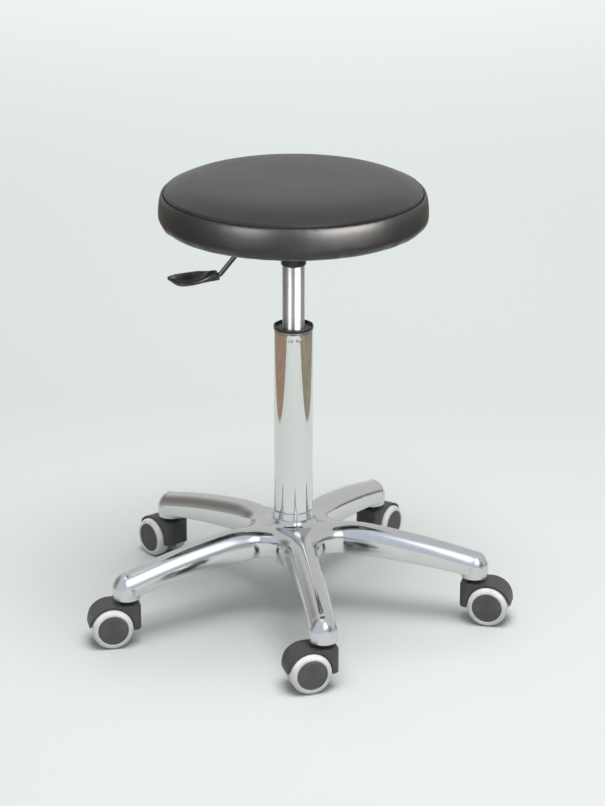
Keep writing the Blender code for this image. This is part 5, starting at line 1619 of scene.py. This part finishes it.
def make_materials():
    return {
        "black_vinyl": vinyl(),
        "cast_aluminium": polished_casting(),
        "chrome_tube": chrome(),
        "satin_steel": ground_steel(),
        "dark_steel": steel("dark_steel_plate", (0.10, 0.10, 0.105), 0.42),
        "zinc_steel": steel("zinc_plate", (0.60, 0.60, 0.57), 0.36),
        "black_plastic": moulded("black_moulding", (0.028, 0.028, 0.028), 0.34, 1200.0, 0.00004),
        "black_nylon": moulded("black_nylon_moulding", (0.034, 0.033, 0.033), 0.45),
        "wheel_grey": moulded("wheel_disc_moulding", (0.050, 0.049, 0.048), 0.55, 2200.0, 0.00006),
        "rubber": moulded("black_rubber", (0.02, 0.02, 0.02), 0.75, 900.0),
        "tyre_pale": tyre_rubber(),
        "black_enamel": enamel("black_enamel_coat", (0.018, 0.018, 0.018), 0.24),
        "plywood": plywood(),
        "dust_fabric": dust_fabric(),
        "thread": thread(),
    }


# Stage, light and camera

def floor_material():
    """Pale paper with painted shade round the stool and painted light farther off, see-through from
    underneath.
    """
    material = start_material("floor_paper", FLOOR_TINT, 0.85, Specular_IOR_Level=0.0)
    shader = material.node_tree.nodes["Principled BSDF"]
    near, far = FLOOR_PAINTED_LIGHT_TONES[0][0], FLOOR_PAINTED_LIGHT_TONES[-1][0]
    # Painted light and shade: the paper's tone set by distance along Y
    away = spread(material, along(material, "Y"), 0.0, 1.0, near, far)
    tones = add_node(material, "ShaderNodeValToRGB", {"Fac": away})
    ramp = tones.color_ramp
    while len(ramp.elements) < len(FLOOR_PAINTED_LIGHT_TONES):
        ramp.elements.new(0.5)
    for stop, (distance, tone) in zip(ramp.elements, FLOOR_PAINTED_LIGHT_TONES):
        stop.position = (distance - near) / (far - near)
        stop.color = (*shade(FLOOR_TINT, tone), 1.0)
    wire(material, base_color=tones.outputs["Color"])
    back = add_node(material, "ShaderNodeNewGeometry").outputs["Backfacing"]
    clear = add_node(material, "ShaderNodeBsdfTransparent").outputs["BSDF"]
    both = add_node(material, "ShaderNodeMixShader", {0: back, 1: shader.outputs["BSDF"], 2: clear})
    end = material.node_tree.nodes["Material Output"]
    material.node_tree.links.new(both.outputs["Shader"], end.inputs["Surface"])
    return material


def add_floor():
    bm = bmesh.new()
    bmesh.ops.create_grid(bm, x_segments=FLOOR_CELLS, y_segments=FLOOR_CELLS, size=FLOOR_HALF)
    floor = show("floor", bpy.data.meshes.new("floor"))
    bm.to_mesh(floor.data)
    bm.free()
    floor.data.materials.append(floor_material())


def only_reflected(obj):
    """Let a stage piece show in reflections alone."""
    obj.visible_camera = False
    obj.visible_diffuse = False
    obj.visible_shadow = False
    obj.visible_transmission = False


def glowing(name, colour):
    """A material that only gives off light."""
    material = start_material(name, (0.0, 0.0, 0.0), 0.5, Specular_IOR_Level=0.0,
                              Emission_Color=(*colour, 1.0), Emission_Strength=1.0)
    material.cycles.emission_sampling = "NONE"
    return material


def add_room_floor(name, low, high, colour):
    """Glowing floor round the paper, streaked along its boards, that only shows in reflections: a painted
    reflection.
    """
    corners = [(low[0], low[1]), (high[0], low[1]), (high[0], high[1]), (low[0], high[1])]
    mesh = bpy.data.meshes.new(name)
    mesh.from_pydata([(x, y, ROOM_FLOOR_HEIGHT) for x, y in corners], [], [(0, 1, 2, 3)])
    material = glowing(name, colour)
    planks = spread(material, mottle(material, 1.0, 2.0, (22.0, 0.4, 1.0)), 0.0, 1.0)
    wire(material, emission_color=tint(material, planks, shade(colour, 0.75), shade(colour, 1.2)))
    mesh.materials.append(material)
    only_reflected(show(name, mesh))


def add_room():
    """The room that bright metal mirrors, a painted reflection: a glowing dome, cool in front, with soft
    patches and a window.
    """
    material = glowing("room", ROOM_BACK)
    sockets = {0: place(material)}
    toward = add_node(material, "ShaderNodeVectorMath", sockets, operation="NORMALIZE").outputs["Vector"]
    axes = add_node(material, "ShaderNodeSeparateXYZ", {"Vector": toward}).outputs
    behind = spread(material, axes["Y"], 0.0, 1.0, *ROOM_TURN)
    walls = tint(material, behind, ROOM_FRONT, ROOM_BACK)
    for direction, inner, outer, colour in ROOM_PATCHES:
        aim = {0: toward, 1: Vector(direction).normalized()}
        facing = add_node(material, "ShaderNodeVectorMath", aim, operation="DOT_PRODUCT").outputs["Value"]
        edge, core = (math.cos(math.radians(angle)) for angle in (outer, inner))
        walls = tint(material, spread(material, facing, 0.0, 1.0, edge, core), walls, colour)
    heading = calc(material, "ARCTAN2", axes["X"], calc(material, "MULTIPLY", axes["Y"], -1.0))
    off = calc(material, "ABSOLUTE", calc(material, "SUBTRACT", heading, math.radians(WINDOW_HEADING)))
    lit = spread(material, off, 1.0, 0.0, *(math.radians(angle) for angle in WINDOW_HALF))
    for low, high, limits in ((0.0, 1.0, WINDOW_LOW), (1.0, 0.0, WINDOW_HIGH)):
        lit = calc(material, "MULTIPLY", lit, spread(material, axes["Z"], low, high, *limits))
    wire(material, emission_color=tint(material, lit, walls, WINDOW_COLOUR))
    bm = bmesh.new()
    bmesh.ops.create_icosphere(bm, subdivisions=4, radius=ROOM_RADIUS)
    dome = show("room", mesh_from(bm, "room"))
    dome.data.materials.append(material)
    only_reflected(dome)


def add_light(name, size, location, aim, power, colour, mirrored):
    """A soft box: one that is only mirrored, by all but the spared pieces, or one that lights everything."""
    data = bpy.data.lights.new(name, "AREA")
    data.shape = "RECTANGLE"
    data.size, data.size_y = size
    data.energy = power
    data.color = colour
    light = show(name, data)
    light.location = location
    light.rotation_euler = (Vector(aim) - Vector(location)).to_track_quat("-Z", "Y").to_euler()
    light.visible_glossy = mirrored
    light.visible_diffuse = not mirrored
    if mirrored:
        spared = bpy.data.collections.new(f"{name}_spares")
        for piece in SPARED:
            spared.objects.link(bpy.data.objects[piece])
        for entry in spared.collection_objects:
            entry.light_linking.link_state = "EXCLUDE"
        light.light_linking.receiver_collection = spared
    light.visible_camera = False


def set_world():
    """An even pale glow for everything but mirror reflections."""
    world = bpy.data.worlds.new("studio")
    bpy.context.scene.world = world
    world.use_nodes = True
    ground = world.node_tree.nodes["Background"]
    ground.inputs["Color"].default_value = (*GLOW_COLOUR, 1.0)
    ground.inputs["Strength"].default_value = GLOW
    world.cycles_visibility.glossy = False


def add_studio():
    set_world()
    add_floor()
    add_room()
    for light in LIGHTS:
        add_light(*light)
    for strip in ROOM_FLOOR:
        add_room_floor(*strip)


def add_camera():
    data = bpy.data.cameras.new("camera")
    data.lens = CAMERA_LENS
    data.sensor_width = SENSOR
    data.clip_end = CAMERA_FAR
    camera = show("camera", data)
    forward = Vector(CAMERA_FORWARD).normalized()
    up = Vector(CAMERA_UP)
    right = forward.cross(up).normalized()
    up = right.cross(forward)
    turn = Matrix((right, up, -forward)).transposed().to_4x4()
    camera.matrix_world = Matrix.Translation(CAMERA_PLACE) @ turn
    bpy.context.scene.camera = camera


def main():
    bpy.context.scene.view_settings.view_transform = "Standard"
    materials = make_materials()
    add_camera()
    add_base(materials)
    add_casters(materials)
    add_seat(materials)
    dress_carried(materials)
    add_studio()


main()
